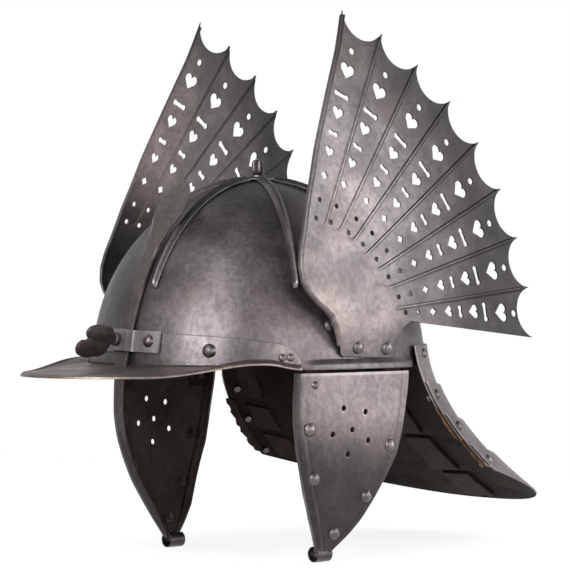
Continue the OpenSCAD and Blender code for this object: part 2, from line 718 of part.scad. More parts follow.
// Neck guard: one flaring surface, from psi at the left edge round the back; h runs down it
guard_power = 2.38;
psi_0 = 24.3;
function guard_0(psi, h) =
    let(w = skull_half_w + guard_side_room + guard_w_grow * h)
    let(l = skull_rear_l + guard_room + guard_l_grow * pow(max(h, 0), 1.9))
    let(side = pow((90 - psi) / (90 - psi_0), 2))
    let(z = guard_top - guard_drop * h + guard_lift * h * side)
    let(n = 2 / guard_power)
    [w * sign(cos(psi)) * pow(abs(cos(psi)), n), l * pow(abs(sin(psi)), n), z];
function guard_n(psi, h) =
    let(up = guard_0(psi, h - 0.01) - guard_0(psi, h + 0.01))
    unit(cross(up, guard_0(psi + 0.5, h) - guard_0(psi - 0.5, h)));
function guard(psi, h, off) = guard_0(psi, h) - off * guard_n(psi, h);
lame_side = [[0, 0.48], [0.28, 0.73], [0.54, 0.96], [0.79, 1]];
lame_back = [[0, 0.32], [0.26, 0.56], [0.5, 0.8], [0.74, 1]];
lame_step = plate_t + lame_gap;
function lame_h(k, psi, end) =
    let(m = pow(abs(90 - psi) / (90 - psi_0), 2))
    lame_back[k][end] * (1 - m) + lame_side[k][end] * m;
module lame_plate(k) {
    cells = 28;
    rows = 5;
    off = plate_t + k * lame_step;
    sheet([for (i = [rows : -1 : 0])
           [for (j = [0 : cells])
            let(psi = psi_0 + (180 - 2 * psi_0) * j / cells)
            let(h0 = lame_h(k, psi, 0))
            let(h1 = lame_h(k, psi, 1))
            guard(psi, h0 + (h1 - h0) * i / rows, off)]], plate_t);
}
// Side rivets, which are the pivots of the lames, each on the face of its lame
pivot_at = [[33, 0.06], [28.5, 0.37], [28, 0.62], [27, 0.9]];
function guard_spot(psi, h, off) = [guard(psi, h, off), -guard_n(psi, h)];
function pivot_spot(k) = guard_spot(pivot_at[k][0], pivot_at[k][1], plate_t + k * lame_step);
lame_1_back = guard_spot(90, 0.07, plate_t + seat);
module pivots(k) {
    for (m = [0, 1]) mirror([m, 0, 0]) along(pivot_spot(k)[0], pivot_spot(k)[1]) children();
}
module lame(k) {
    difference() {
        lame_plate(k);
        pivots(k) rivet_hole(8);
        if (k < 3) pivots(k + 1) rivet_hole(8);
        if (k == 0) along(lame_1_back[0], lame_1_back[1]) rivet_hole(8);
    }
}
module lame_1() { color(iron) lame(0); }
module lame_2() { color(iron) lame(1); }
module lame_3() { color(iron) lame(2); }
module lame_4() { color(iron) lame(3); }
module lame_rivets(k) {
    pivots(k) rivet(rivet_head * 0.8, lame_step + plate_t + leather_t + seat * 2);
}
module lame_rivets_1() {
    color(iron_light) {
        lame_rivets(0);
        along(lame_1_back[0], lame_1_back[1]) rivet(rivet_head * 0.8, plate_t * 2 + 4 + seat);
    }
}
module lame_rivets_2() { color(iron_light) lame_rivets(1); }
module lame_rivets_3() { color(iron_light) lame_rivets(2); }
module lame_rivets_4() { color(iron_light) lame_rivets(3); }

// Leather straps that lie inside the lames, one at each side and one at the back
side_spans = [[0.18, 0.42], [0.5, 0.67], [0.74, 0.925]];
back_spans = [[0.16, 0.3], [0.34, 0.54], [0.58, 0.78], [0.82, 0.96]];
strap_a = 8;
// Angle between a lame's end and its side strap
strap_in_a = 5.5;
module strap(psi, span, k) {
    steps = 4;
    sheet([for (i = [3 : -1 : 0])
           let(h = span[0] + (span[1] - span[0]) * i / 3)
           [for (j = [0 : steps]) guard(psi + strap_a * (j / steps - 0.5), h, k * lame_step - seat)]],
          leather_t);
}
module neck_leathers(k) {
    color(leather) difference() {
        union() {
            if (k < 3) for (s = [-1, 1]) strap(90 + s * (90 - psi_0 - strap_in_a - strap_a / 2), side_spans[k], k);
            strap(90, back_spans[k], k);
        }
        pivots(k) rivet_hole(8);
        if (k < 3) pivots(k + 1) rivet_hole(8);
    }
}
module neck_leathers_1() { neck_leathers(0); }
module neck_leathers_2() { neck_leathers(1); }
module neck_leathers_3() { neck_leathers(2); }
module neck_leathers_4() { neck_leathers(3); }

skull();
lining_rivets();
crown_star();
finial();
finial_nut();
peak();
peak_rivets();
nasal_bracket();
bracket_rivets();
nasal_bar();
wing_screw();
wing_left();
wing_right();
wing_rivets_left();
wing_rivets_right();
cheek_left();
cheek_right();
cheek_rivets_left();
cheek_rivets_right();
cheek_washers_left();
cheek_washers_right();
cheek_leathers_left();
cheek_leathers_right();
cheek_hangers_left();
cheek_hangers_right();
hanger_rivets_left();
hanger_rivets_right();
lame_1();
lame_2();
lame_3();
lame_4();
lame_rivets_1();
lame_rivets_2();
lame_rivets_3();
lame_rivets_4();
neck_leathers_1();
neck_leathers_2();
neck_leathers_3();
neck_leathers_4();
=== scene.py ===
import math

import bmesh
import bpy
from mathutils import Matrix, Vector


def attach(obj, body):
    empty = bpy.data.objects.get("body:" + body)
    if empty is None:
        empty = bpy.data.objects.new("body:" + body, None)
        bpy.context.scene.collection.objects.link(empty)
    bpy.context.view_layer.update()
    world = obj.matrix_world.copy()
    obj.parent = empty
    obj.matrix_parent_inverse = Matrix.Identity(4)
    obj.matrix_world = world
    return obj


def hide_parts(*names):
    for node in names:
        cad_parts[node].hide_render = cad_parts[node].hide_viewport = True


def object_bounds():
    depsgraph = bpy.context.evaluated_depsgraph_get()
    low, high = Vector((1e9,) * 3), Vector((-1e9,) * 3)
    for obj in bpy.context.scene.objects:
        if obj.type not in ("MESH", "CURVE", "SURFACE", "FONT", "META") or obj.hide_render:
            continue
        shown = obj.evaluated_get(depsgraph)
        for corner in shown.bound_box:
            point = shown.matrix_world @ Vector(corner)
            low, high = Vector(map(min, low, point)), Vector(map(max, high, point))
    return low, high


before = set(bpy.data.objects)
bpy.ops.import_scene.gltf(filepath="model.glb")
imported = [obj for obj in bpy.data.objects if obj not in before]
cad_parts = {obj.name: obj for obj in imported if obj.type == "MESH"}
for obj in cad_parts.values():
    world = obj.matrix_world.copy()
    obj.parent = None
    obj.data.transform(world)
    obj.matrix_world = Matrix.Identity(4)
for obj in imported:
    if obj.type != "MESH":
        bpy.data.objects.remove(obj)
cad_bounds = [list(corner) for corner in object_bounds()]

# Studio: a pale floor in a white surround, lit by soft boxes in front, above, behind, at both sides and
# low by the tail. The camera stands at the height of the brow, between the helmet's front and its left.
view_turn = math.radians(46.3)
view_rise = math.radians(0.35)
view_away = 2
look_at = Vector((0.0126, 0.0132, 0.0539))
view_back = Vector((math.sin(view_turn) * math.cos(view_rise),
                    -math.cos(view_turn) * math.cos(view_rise), math.sin(view_rise)))
camera = bpy.data.objects.new("camera", bpy.data.cameras.new("camera"))
camera.data.lens = 187.45
camera.data.sensor_width = 36
camera.data.clip_end = 20
camera.location = look_at + view_away * view_back
camera.rotation_euler = view_back.to_track_quat("Z", "Y").to_euler()
bpy.context.scene.collection.objects.link(camera)
bpy.context.scene.camera = camera
bpy.context.scene.view_settings.view_transform = "Standard"

white = (1, 1, 1, 1)
surround = bpy.data.worlds.new("surround")
surround.use_nodes = True
bpy.context.scene.world = surround
sky = surround.node_tree
ambient = sky.nodes["Background"]
ambient.inputs["Strength"].default_value = 1
direction = sky.nodes.new("ShaderNodeTexCoord")
height = sky.nodes.new("ShaderNodeSeparateXYZ")
sky.links.new(direction.outputs["Generated"], height.inputs[0])
ceiling = sky.nodes.new("ShaderNodeValToRGB")
ceiling.color_ramp.elements[0].position = 0.2
ceiling.color_ramp.elements[0].color = (0.85, 0.85, 0.85, 1)
ceiling.color_ramp.elements[1].position = 0.7
ceiling.color_ramp.elements[1].color = (0.3, 0.3, 0.3, 1)
sky.links.new(height.outputs["Z"], ceiling.inputs["Fac"])
sky.links.new(ceiling.outputs["Color"], ambient.inputs["Color"])
seen_white = sky.nodes.new("ShaderNodeBackground")
seen_white.inputs["Color"].default_value = white
seen_white.inputs["Strength"].default_value = 1
sky_path = sky.nodes.new("ShaderNodeLightPath")
sky_mix = sky.nodes.new("ShaderNodeMixShader")
sky.links.new(sky_path.outputs["Is Camera Ray"], sky_mix.inputs[0])
sky.links.new(ambient.outputs[0], sky_mix.inputs[1])
sky.links.new(seen_white.outputs[0], sky_mix.inputs[2])
sky.links.new(sky_mix.outputs[0], sky.nodes["World Output"].inputs["Surface"])

floor_half = 6
floor_below = 0.0005
floor_mesh = bpy.data.meshes.new("floor")
floor_form = bmesh.new()
bmesh.ops.create_grid(floor_form, x_segments=1, y_segments=1, size=floor_half,
                      matrix=Matrix.Translation((0, 0, cad_bounds[0][2] - floor_below)))
floor_form.to_mesh(floor_mesh)
floor_form.free()
floor = bpy.data.objects.new("floor", floor_mesh)
bpy.context.scene.collection.objects.link(floor)
floor_paint = bpy.data.materials.new("floor_paint")
floor_paint.use_nodes = True
paint = floor_paint.node_tree
matt = paint.nodes["Principled BSDF"]
matt.inputs["Base Color"].default_value = (0.86, 0.86, 0.86, 1)
matt.inputs["Roughness"].default_value = 0.9
own_white = paint.nodes.new("ShaderNodeEmission")
own_white.inputs["Color"].default_value = white
floor_path = paint.nodes.new("ShaderNodeLightPath")
mirrored = paint.nodes.new("ShaderNodeMath")
mirrored.operation = "MULTIPLY_ADD"
mirrored.inputs[1].default_value = 0.8
mirrored.inputs[2].default_value = 1
paint.links.new(floor_path.outputs["Is Glossy Ray"], mirrored.inputs[0])
paint.links.new(mirrored.outputs[0], own_white.inputs["Strength"])
shown = paint.nodes.new("ShaderNodeMath")
shown.operation = "ADD"
paint.links.new(floor_path.outputs["Is Camera Ray"], shown.inputs[0])
paint.links.new(floor_path.outputs["Is Glossy Ray"], shown.inputs[1])
floor_place = paint.nodes.new("ShaderNodeTexCoord")
distance = paint.nodes.new("ShaderNodeVectorMath")
distance.operation = "LENGTH"
paint.links.new(floor_place.outputs["Object"], distance.inputs[0])
fading = paint.nodes.new("ShaderNodeMapRange")
fading.inputs["From Min"].default_value = 0.25
fading.inputs["From Max"].default_value = 1.1
fading.inputs["To Min"].default_value = 0.82
fading.inputs["To Max"].default_value = 1
paint.links.new(distance.outputs["Value"], fading.inputs["Value"])
white_share = paint.nodes.new("ShaderNodeMath")
white_share.operation = "MULTIPLY"
white_share.use_clamp = True
paint.links.new(shown.outputs[0], white_share.inputs[0])
paint.links.new(fading.outputs["Result"], white_share.inputs[1])
floor_mix = paint.nodes.new("ShaderNodeMixShader")
paint.links.new(white_share.outputs[0], floor_mix.inputs[0])
paint.links.new(matt.outputs[0], floor_mix.inputs[1])
paint.links.new(own_white.outputs[0], floor_mix.inputs[2])
paint.links.new(floor_mix.outputs[0], paint.nodes["Material Output"].inputs["Surface"])
floor_mesh.materials.append(floor_paint)


def soft_box(name, place, width, height, power):
    lamp = bpy.data.lights.new(name, "AREA")
    lamp.shape = "RECTANGLE"
    lamp.size = width
    lamp.size_y = height
    lamp.energy = power
    box = bpy.data.objects.new(name, lamp)
    box.location = place
    box.rotation_euler = (Vector(place) - look_at).to_track_quat("Z", "Y").to_euler()
    bpy.context.scene.collection.objects.link(box)


soft_box("front_light", (0.5, -1.3, 0.5), 0.9, 0.9, 38)
soft_box("top_light", (0.25, -0.7, 1.1), 0.7, 0.6, 7)
soft_box("side_light", (0.85, 0.62, 0.2), 0.6, 0.8, 16)
soft_box("left_light", (-1.0, -0.3, 1.15), 1.0, 0.8, 5)
soft_box("back_light", (0.4, 1.1, 0.95), 0.9, 0.6, 8)
soft_box("low_light", (1.2, -0.15, 0.2), 0.4, 0.5, 8)


# Skull: one bowl raised from a sheet of iron, 1.2 mm thick, blackened and burnished. Its rim arches up
# over the temples and swells outwards over the ears, where the cheeks hang.
mm = 0.001
plate_t = 1.2
skull_half_w = 99
skull_front_l = 115
skull_rear_l = 109
skull_h = 124
skull_front_power = 2.2
skull_rear_power = 2.6
rim_arch = 3.5
rim_band_h = 7
rim_swell = 4
rim_band_v = 0.12
crown_rise = 88.6
dent_deep = 0.12
dent_room = 0.22
seat = 0.3


def ramp(x):
    k = min(1, max(0, x))
    return k * k * (3 - 2 * k)


def past(turn, start, reach):
    return ramp((abs(turn) - start) / reach)


# The bowl's surface: turn goes round from the brow to the wearer's left, rise up from the rim to the top.
def bowl(turn, rise, off=0):
    s = math.sin(math.radians(turn))
    c = math.cos(math.radians(turn))
    power = skull_front_power if c > 0 else skull_rear_power
    length = (skull_front_l if c > 0 else skull_rear_l) + off
    r = (abs(s) / (skull_half_w + off)) ** power + (abs(c) / length) ** power
    r = r ** (-1 / power) * math.cos(math.radians(rise))
    return Vector((r * s, -r * c, (skull_h + off) * math.sin(math.radians(rise))))


def bowl_normal(turn, rise):
    around = bowl(turn + 0.5, rise) - bowl(turn - 0.5, rise)
    up = bowl(turn, rise + 0.5) - bowl(turn, rise - 0.5)
    return around.cross(up).normalized()


def height_angle(z):
    return math.degrees(math.asin(min(1, z / skull_h)))


def dents(p, deep):
    wave = math.sin(p.x / 13 + 1.7 * math.sin(p.y / 19)) * math.sin(p.z / 16 + 1.3 * math.sin(p.x / 23))
    return deep * (wave + 0.6 * math.sin(p.y / 9 + p.z / 14))


# Blackened iron between two tones, burnished where polish isn't 0. Each row of the last argument paints
# shade: it darkens the iron further with the distance from a point, both seen from the side.
def iron(name, dark, light, rough=0.42, pitted=0.3, worn=0.5, size=24, polish=0.09, painted_shades=()):
    finish = bpy.data.materials.new(name)
    finish.use_nodes = True
    tree = finish.node_tree
    new = tree.nodes.new
    link = tree.links.new
    shader = tree.nodes["Principled BSDF"]
    shader.inputs["Metallic"].default_value = 0.9 if polish else 0
    shader.inputs["Specular IOR Level"].default_value = 0.5 if polish else 0.04
    place = new("ShaderNodeTexCoord").outputs["Object"]

    def noise(scale, detail=5, rough_share=0.6, vector=None):
        made = new("ShaderNodeTexNoise")
        made.inputs["Scale"].default_value = scale
        made.inputs["Detail"].default_value = detail
        made.inputs["Roughness"].default_value = rough_share
        link(vector or place, made.inputs["Vector"])
        return made.outputs["Fac"]

    def band(value, low, high, to_low=0, to_high=1):
        made = new("ShaderNodeMapRange")
        made.inputs["From Min"].default_value = low
        made.inputs["From Max"].default_value = high
        made.inputs["To Min"].default_value = to_low
        made.inputs["To Max"].default_value = to_high
        link(value, made.inputs["Value"])
        return made.outputs["Result"]

    # The colours of a Mix node are its inputs 6 and 7 and its output 2.
    def mix(share, one, two):
        made = new("ShaderNodeMix")
        made.data_type = "RGBA"
        for socket, value in ((made.inputs[0], share), (made.inputs[6], one), (made.inputs[7], two)):
            if isinstance(value, tuple):
                socket.default_value = value
            else:
                link(value, socket)
        return made.outputs[2]

    def darker(share):
        return (*[c * share for c in dark], 1)

    cloud = noise(size)
    grain = noise(size * 11, 3)
    drawn = new("ShaderNodeMapping")
    drawn.inputs["Scale"].default_value = (600, 600, 110)
    link(place, drawn.inputs["Vector"])
    drawn_noise = noise(1, 3, 0.55, drawn.outputs[0])
    scratches = noise(0.35, 2, 0.5, drawn.outputs[0])
    colour = mix(band(cloud, 0.36, 0.66), (*dark, 1), (*light, 1))
    colour = mix(band(grain, 0.42, 0.6, 0, 0.45), colour, darker(0.55))
    colour = mix(band(noise(size * 4, 4), 0.48, 0.66, 0, 0.5), colour, darker(0.7))
    brown = (light[0] * 1.25, light[1], light[2] * 0.78, 1)
    colour = mix(band(noise(size * 0.45), 0.5, 0.72, 0, 0.4), colour, brown)
    bright = (*[min(1, c * 2.1 + 0.03) for c in light], 1)
    colour = mix(band(drawn_noise, 0.42, 0.75, 0, polish), colour, bright)
    colour = mix(band(scratches, 0.66, 0.72, 0, polish), colour, bright)
    if worn:
        edge = new("ShaderNodeNewGeometry").outputs["Pointiness"]
        colour = mix(band(edge, 0.53, 0.6, 0, worn), colour, bright)
    # Painted shade: darker away from each row's point.
    for middle, near, far, share in painted_shades:
        away = new("ShaderNodeVectorMath")
        away.operation = "DISTANCE"
        flat = new("ShaderNodeVectorMath")
        flat.operation = "MULTIPLY"
        flat.inputs[1].default_value = (0, 1, 1)
        link(place, flat.inputs[0])
        link(flat.outputs[0], away.inputs[0])
        away.inputs[1].default_value = middle
        colour = mix(band(away.outputs["Value"], near, far, 0, share), colour, darker(0.05))
    link(colour, shader.inputs["Base Color"])
    link(band(noise(size * 2.2, 6), 0.3, 0.7, rough - 0.09, rough + 0.12), shader.inputs["Roughness"])

    pit = new("ShaderNodeTexVoronoi")
    pit.inputs["Scale"].default_value = 420
    link(place, pit.inputs["Vector"])
    pits = band(pit.outputs["Distance"], 0.0, 0.38)
    spots = band(noise(60, 4), 0.47, 0.66, 1, 0)
    pits_mixed = new("ShaderNodeMath")
    pits_mixed.operation = "MAXIMUM"
    link(pits, pits_mixed.inputs[0])
    link(spots, pits_mixed.inputs[1])
    pit_bump = new("ShaderNodeBump")
    pit_bump.inputs["Strength"].default_value = pitted
    pit_bump.inputs["Distance"].default_value = 0.0005
    link(pits_mixed.outputs[0], pit_bump.inputs["Height"])
    skin_bump = new("ShaderNodeBump")
    skin_bump.inputs["Strength"].default_value = 0.35
    skin_bump.inputs["Distance"].default_value = 0.0004
    link(noise(130, 6, 0.7), skin_bump.inputs["Height"])
    link(pit_bump.outputs[0], skin_bump.inputs["Normal"])
    wave_bump = new("ShaderNodeBump")
    wave_bump.inputs["Strength"].default_value = 0.5
    wave_bump.inputs["Distance"].default_value = 0.0012
    link(noise(34, 2, 0.4), wave_bump.inputs["Height"])
    link(skin_bump.outputs[0], wave_bump.inputs["Normal"])
    link(wave_bump.outputs[0], shader.inputs["Normal"])
    return finish


# A sheet is a grid: place gives the point in millimetres for u across and v up, each from 0 to 1.
def sheet_form(columns, rows, place):
    form = bmesh.new()
    bmesh.ops.create_grid(form, x_segments=columns, y_segments=rows, size=0.5)
    for vert in form.verts:
        vert.co = Vector(place(vert.co.x + 0.5, vert.co.y + 0.5)) * mm
    bmesh.ops.remove_doubles(form, verts=form.verts, dist=0.00002)
    return form


def piece(name, form, body, finishes, stands_for=(), thick=0, edge=0.3, smooth_to=34, rim=0):
    mesh = bpy.data.meshes.new(name)
    form.to_mesh(mesh)
    form.free()
    for finish in finishes:
        mesh.materials.append(finish)
    mesh.shade_smooth()
    mesh.set_sharp_from_angle(angle=math.radians(smooth_to))
    made = bpy.data.objects.new(name, mesh)
    bpy.context.scene.collection.objects.link(made)
    if thick:
        wall = made.modifiers.new("wall", "SOLIDIFY")
        wall.thickness = thick * mm
        wall.offset = -1
        wall.use_even_offset = True
        wall.material_offset = len(finishes) - 1
        wall.material_offset_rim = rim
    if edge:
        rounded = made.modifiers.new("edge", "BEVEL")
        rounded.width = edge * mm
        rounded.segments = 2
        rounded.limit_method = "ANGLE"
        rounded.angle_limit = math.radians(40)
    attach(made, body)
    if stands_for:
        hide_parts(*stands_for)


def keep_node(node, finish):
    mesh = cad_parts[node].data
    mesh.materials.clear()
    mesh.materials.append(finish)


skull_iron = iron("skull_iron", (0.047, 0.041, 0.044), (0.089, 0.08, 0.087), pitted=0.22, polish=0.07)
# Darker iron for the inner faces, also used as painted shade in the ear holes, the peak's corner and its
# cut edges.
inside_and_shade_iron = iron("inside_and_shade_iron", (0.014, 0.0112, 0.0095), (0.036, 0.029, 0.0245), rough=0.75, pitted=0.5,
                   worn=0, polish=0)


def skull_at(u, v):
    turn = 360 * u - 180
    low = rim_arch * (past(turn, 21, 25) - past(turn, 49, 15))
    if v < rim_band_v:
        rise = height_angle(low + (rim_band_h - low) * v / rim_band_v)
    else:
        band_rise = height_angle(rim_band_h)
        rise = band_rise + (crown_rise - band_rise) * (v - rim_band_v) / (1 - rim_band_v)
    p = bowl(turn, rise)
    out = rim_swell * ramp((rim_band_h - p.z) / 4.2) * past(turn, 62, 8) * past(turn, 122, -8)
    p.x += out * math.sin(math.radians(turn))
    p.y -= out * math.cos(math.radians(turn))
    if v > rim_band_v + 0.04:
        p += bowl_normal(turn, min(rise, 86)) * (dents(p, dent_deep) - dent_room)
    return p


piece("skull_bowl", sheet_form(180, 60, skull_at), "helmet", (skull_iron, inside_and_shade_iron),
      ("skull",), thick=plate_t)

# Lining rivets: a small domed rivet of iron at each side of the skull, below the crown's arms. Its shank
# goes through the plate and once held the lining inside.
rivet_iron = iron("rivet_iron", (0.045, 0.04, 0.04), (0.1, 0.092, 0.09), rough=0.38, worn=0, size=60)
keep_node("lining_rivets", rivet_iron)

# Crown: a disc with six ribbed arms, cut and raised from one piece of iron, that lies over the skull's
# top, held by the finial's shank and its nut inside.
star_iron = iron("star_iron", (0.03, 0.026, 0.027), (0.06, 0.054, 0.056), rough=0.4)
star_turn = 7
star_arms = (0, 55, 115, 177, 239, 299)
arm_foot_rise = 25
arm_top_rise = 84.5
arm_w = 4.5
arm_section = ((-0.5, 0.35), (-0.42, 1.3), (-0.2, 2.8), (0, 3.4), (0.2, 2.8), (0.42, 1.3), (0.5, 0.35))


def arm_at(turn):
    def place(u, v):
        rise = arm_foot_rise + (arm_top_rise - arm_foot_rise) * v
        wide = arm_w * (1 + v)
        k = u * (len(arm_section) - 1)
        i = min(len(arm_section) - 2, int(k))
        side = arm_section[i][0] + (arm_section[i + 1][0] - arm_section[i][0]) * (k - i)
        high = arm_section[i][1] + (arm_section[i + 1][1] - arm_section[i][1]) * (k - i)
        end = ramp(v / 0.02)
        p = bowl(turn, rise, seat) + (high * (0.25 + 0.75 * end)) * bowl_normal(turn, rise)
        across = Vector((math.cos(math.radians(turn)), math.sin(math.radians(turn)), 0))
        return p + across * (side * wide * (0.8 + 0.2 * end))
    return place


def add_form(form, other, moved=Matrix()):
    mesh = bpy.data.meshes.new("part")
    bmesh.ops.transform(other, matrix=moved, verts=other.verts)
    other.to_mesh(mesh)
    other.free()
    form.from_mesh(mesh)
    bpy.data.meshes.remove(mesh)


arms_form = bmesh.new()
for arm_turn in star_arms:
    add_form(arms_form, sheet_form(12, 60, arm_at(star_turn + arm_turn)))
piece("crown_arms", arms_form, "helmet", (star_iron,), ("crown_star",), thick=0.9, edge=0.2)


def turned_form(profile, steps=48):
    form = bmesh.new()
    ring = [form.verts.new((r * mm, 0, z * mm)) for r, z in profile]
    edges = [form.edges.new(pair) for pair in zip(ring, ring[1:])]
    bmesh.ops.spin(form, geom=ring + edges, cent=(0, 0, 0), axis=(0, 0, 1), angle=math.tau, steps=steps,
                   use_merge=True)
    bmesh.ops.remove_doubles(form, verts=form.verts, dist=0.00001)
    bmesh.ops.recalc_face_normals(form, faces=form.faces)
    return form


disc_z = skull_h + seat
finial_z = disc_z + 2.4
disc_form = turned_form([(0, disc_z), (12.6, disc_z), (13, disc_z + 0.5), (12.7, disc_z + 1.1),
                         (11.2, disc_z + 1.5), (10.4, disc_z + 2.2), (7.5, finial_z), (0, finial_z)])
piece("crown_disc", disc_form, "helmet", (star_iron,), edge=0)

flutes = 5
flute_deep = 0.14
finial_turned = 0.2
shank_low = 115.8
finial_form = turned_form([(0, finial_z), (5.2, finial_z), (5.2, finial_z + 1), (3.1, finial_z + 1.8),
                           (3.3, finial_z + 2.2), (4.2, finial_z + 3.2), (4.2, finial_z + 6),
                           (4.15, finial_z + 9), (3.4, finial_z + 10.8), (1.7, finial_z + 11.8),
                           (0, finial_z + 12)], steps=60)
for vert in finial_form.verts:
    flat_r = math.hypot(vert.co.x, vert.co.y)
    if vert.co.z > (finial_z + 2.5) * mm and flat_r > 0.002:
        flute = 1 - flute_deep * abs(math.sin(flutes * math.atan2(vert.co.y, vert.co.x)))
        vert.co.x *= flute
        vert.co.y *= flute
bmesh.ops.rotate(finial_form, verts=finial_form.verts, cent=(0, 0, 0),
                 matrix=Matrix.Rotation(finial_turned, 3, "Z"))
piece("finial_knob", finial_form, "helmet", (star_iron,), ("finial",), edge=0)
shank_form = turned_form([(0, shank_low), (2.4, shank_low), (2.4, finial_z + 0.5), (0, finial_z + 0.5)],
                         steps=24)
piece("finial_shank", shank_form, "helmet", (star_iron,), edge=0)
keep_node("finial_nut", star_iron)

# Peak: a sheet of iron whose upper part stands against the brow as a flange and whose lower part runs
# forward to a point; its edge is turned down. Rivets hold the flange to the skull.
peak_iron = iron("peak_iron", (0.05, 0.044, 0.046), (0.09, 0.081, 0.086), rough=0.4, pitted=0.25)
brim_iron = iron("brim_iron", (0.076, 0.062, 0.055), (0.152, 0.127, 0.115), pitted=0.25, worn=0.15)
peak_end = 62
peak_front_l = 187
peak_centre = 30
peak_half_w = 92
peak_low = -4
flange_h = 24
flange_off = seat + plate_t
flange_v = 0.3
corner_v = 0.36
bead_v = 0.93
corner_r = 0.9


def peak_edge_r(turn):
    s = math.sin(math.radians(turn))
    c = math.cos(math.radians(turn))
    length = peak_front_l - peak_centre
    a = (s / peak_half_w) ** 2 + (c / length) ** 2
    b = -2 * peak_centre * c / length ** 2
    k = peak_centre ** 2 / length ** 2 - 1
    return (-b + math.sqrt(b * b - 4 * a * k)) / (2 * a)


def peak_edge_z(turn):
    return peak_low + 7.5 * past(turn, 21, 25) - 3.5 * past(turn, 49, 13)


def peak_corner_z(turn):
    return max(2.4, peak_edge_z(turn) + 2.5)


# U goes from the left end to the right, v down the flange, round the corner and out to the turned edge.
def peak_at(u, v):
    turn = peak_end * (1 - 2 * u)
    share = abs(turn) / peak_end
    top = (flange_h - 9 * share ** 2) * math.sqrt(1 - max(0, (share - 0.86) / 0.145) ** 2 * 0.9)
    top = max(peak_edge_z(turn) + 4.5, top)
    low = bowl(turn, 0, flange_off)
    r0 = math.hypot(low.x, low.y)
    reach = max(2.2, peak_edge_r(turn) - r0)
    z0 = peak_corner_z(turn)
    z1 = peak_edge_z(turn) + 1.6
    s = math.sin(math.radians(turn))
    c = math.cos(math.radians(turn))
    if v < flange_v:
        return bowl(turn, height_angle(top + (z0 + plate_t - top) * v / flange_v), flange_off)
    if v < corner_v:
        k = (v - flange_v) / (corner_v - flange_v)
        p = bowl(turn, height_angle(z0 + plate_t), flange_off)
        q = Vector(((r0 + corner_r) * s, -(r0 + corner_r) * c, z0))
        corner = Vector(((r0 + 0.1) * s, -(r0 + 0.1) * c, z0 + 0.15))
        return (1 - k) ** 2 * p + 2 * k * (1 - k) * corner + k * k * q
    if v < bead_v:
        k = (v - corner_v) / (bead_v - corner_v)
        r = r0 + corner_r + (reach - corner_r) * k
        gap = (reach - corner_r) * (1 - k)
        bead = math.sin(math.pi * max(0, 1 - gap / 3.2)) * min(1, reach / 20)
        return Vector((r * s, -r * c, z0 + (z1 - z0) * k + 0.9 * bead))
    k = (v - bead_v) / (1 - bead_v)
    r = r0 + reach + 0.8 * math.sin(k * math.pi / 2)
    return Vector((r * s, -r * c, z1 - 1.6 * (1 - math.cos(k * math.pi / 2))))


peak_form = sheet_form(144, 86, peak_at)
# Painted shade: a thin band of the flange just above the corner, against the skull, takes the dark inner
# finish.
for face in peak_form.faces:
    middle = face.calc_center_median() / mm
    turn = math.degrees(math.atan2(middle.x, -middle.y))
    corner_z = peak_corner_z(turn)
    low = bowl(turn, 0, flange_off)
    if middle.z < corner_z:
        face.material_index = 1
    elif middle.z < corner_z + 1.25 and math.hypot(middle.x, middle.y) < math.hypot(low.x, low.y) + 1:
        face.material_index = 2
# Painted shade: the plate's cut edges, the flange's top edge among them, take the dark inner finish.
piece("peak_plate", peak_form, "helmet", (peak_iron, brim_iron, inside_and_shade_iron), ("peak",),
      thick=plate_t, edge=0, rim=2)
keep_node("peak_rivets", rivet_iron)

# Nasal: a flat iron bar, bent to an arc, that ends above in a leaf. It slides through a slot in the
# peak and is held by the screw of a staple riveted to the brow.
nasal_iron = iron("nasal_iron", (0.05, 0.043, 0.041), (0.09, 0.078, 0.074), rough=0.46, pitted=0.25,
                  worn=0.6)
bar_t = 2
bar_low = -3
bar_l = 127
bar_out = 121.9
bar_arc = 282.72
bar_arc_z = -54
bar_arc_y = math.sqrt(bar_arc ** 2 - bar_arc_z ** 2) - bar_out
leaf_line = ((-3, 4.2), (-2, 5), (74, 5), (80, 5.5), (91, 8.4), (99, 12.3), (103, 13.6), (106, 14),
             (110, 13.4), (115, 11.2), (120.5, 5.6), (123, 2), (124, 0.1))


def width_at(line, z):
    for low, high in zip(line, line[1:]):
        if z <= high[0]:
            return low[1] + (high[1] - low[1]) * (z - low[0]) / (high[0] - low[0])
    return line[-1][1]


def nasal_at(u, v):
    z = bar_low + bar_l * v
    x = (2 * u - 1) * width_at(leaf_line, z)
    y = math.sqrt((bar_arc + bar_t / 2) ** 2 - (z - bar_arc_z) ** 2) - bar_arc_y
    return Vector((x, -y, z))


piece("nasal_leaf", sheet_form(8, 130, nasal_at), "nasal", (nasal_iron,), ("nasal_bar",),
      thick=bar_t, edge=0.4)
keep_node("nasal_bracket", skull_iron)
keep_node("bracket_rivets", rivet_iron)

# Wing screw: a round collar and shank with a thumb plate of two lobes, cut from thicker iron and filed
# round at its edges. It goes through the bracket's strap and clamps the nasal.
screw_iron = iron("screw_iron", (0.024, 0.019, 0.018), (0.05, 0.042, 0.04), rough=0.5, pitted=0.5, worn=0)
thumb_line = ((-2, 2.6), (-4.5, 4.4), (-7, 7), (-11, 7.9), (-17, 7.7), (-22, 6.6), (-25.6, 3.6),
              (-25.6, -0.2), (-23.6, -2.8), (-27.6, -4.2), (-30.4, -8), (-29.2, -12.6), (-25, -14.8),
              (-19, -14.8), (-14.6, -13.6), (-10, -12.6), (-6, -9.4), (-5, -5.6), (-4, -3.6), (-2, -2.6))
thumb_half_t = 0.65
thumb_round = 0.45
screw_strap = 124.766
screw_foot = 115.266
screw_z = 18
screw_lean = math.radians(-8)
screw_turned = math.radians(20)
quarter = math.radians(90)


def made_mesh(blank):
    bpy.context.view_layer.update()
    graph = bpy.context.evaluated_depsgraph_get()
    return bpy.data.meshes.new_from_object(blank.evaluated_get(graph))


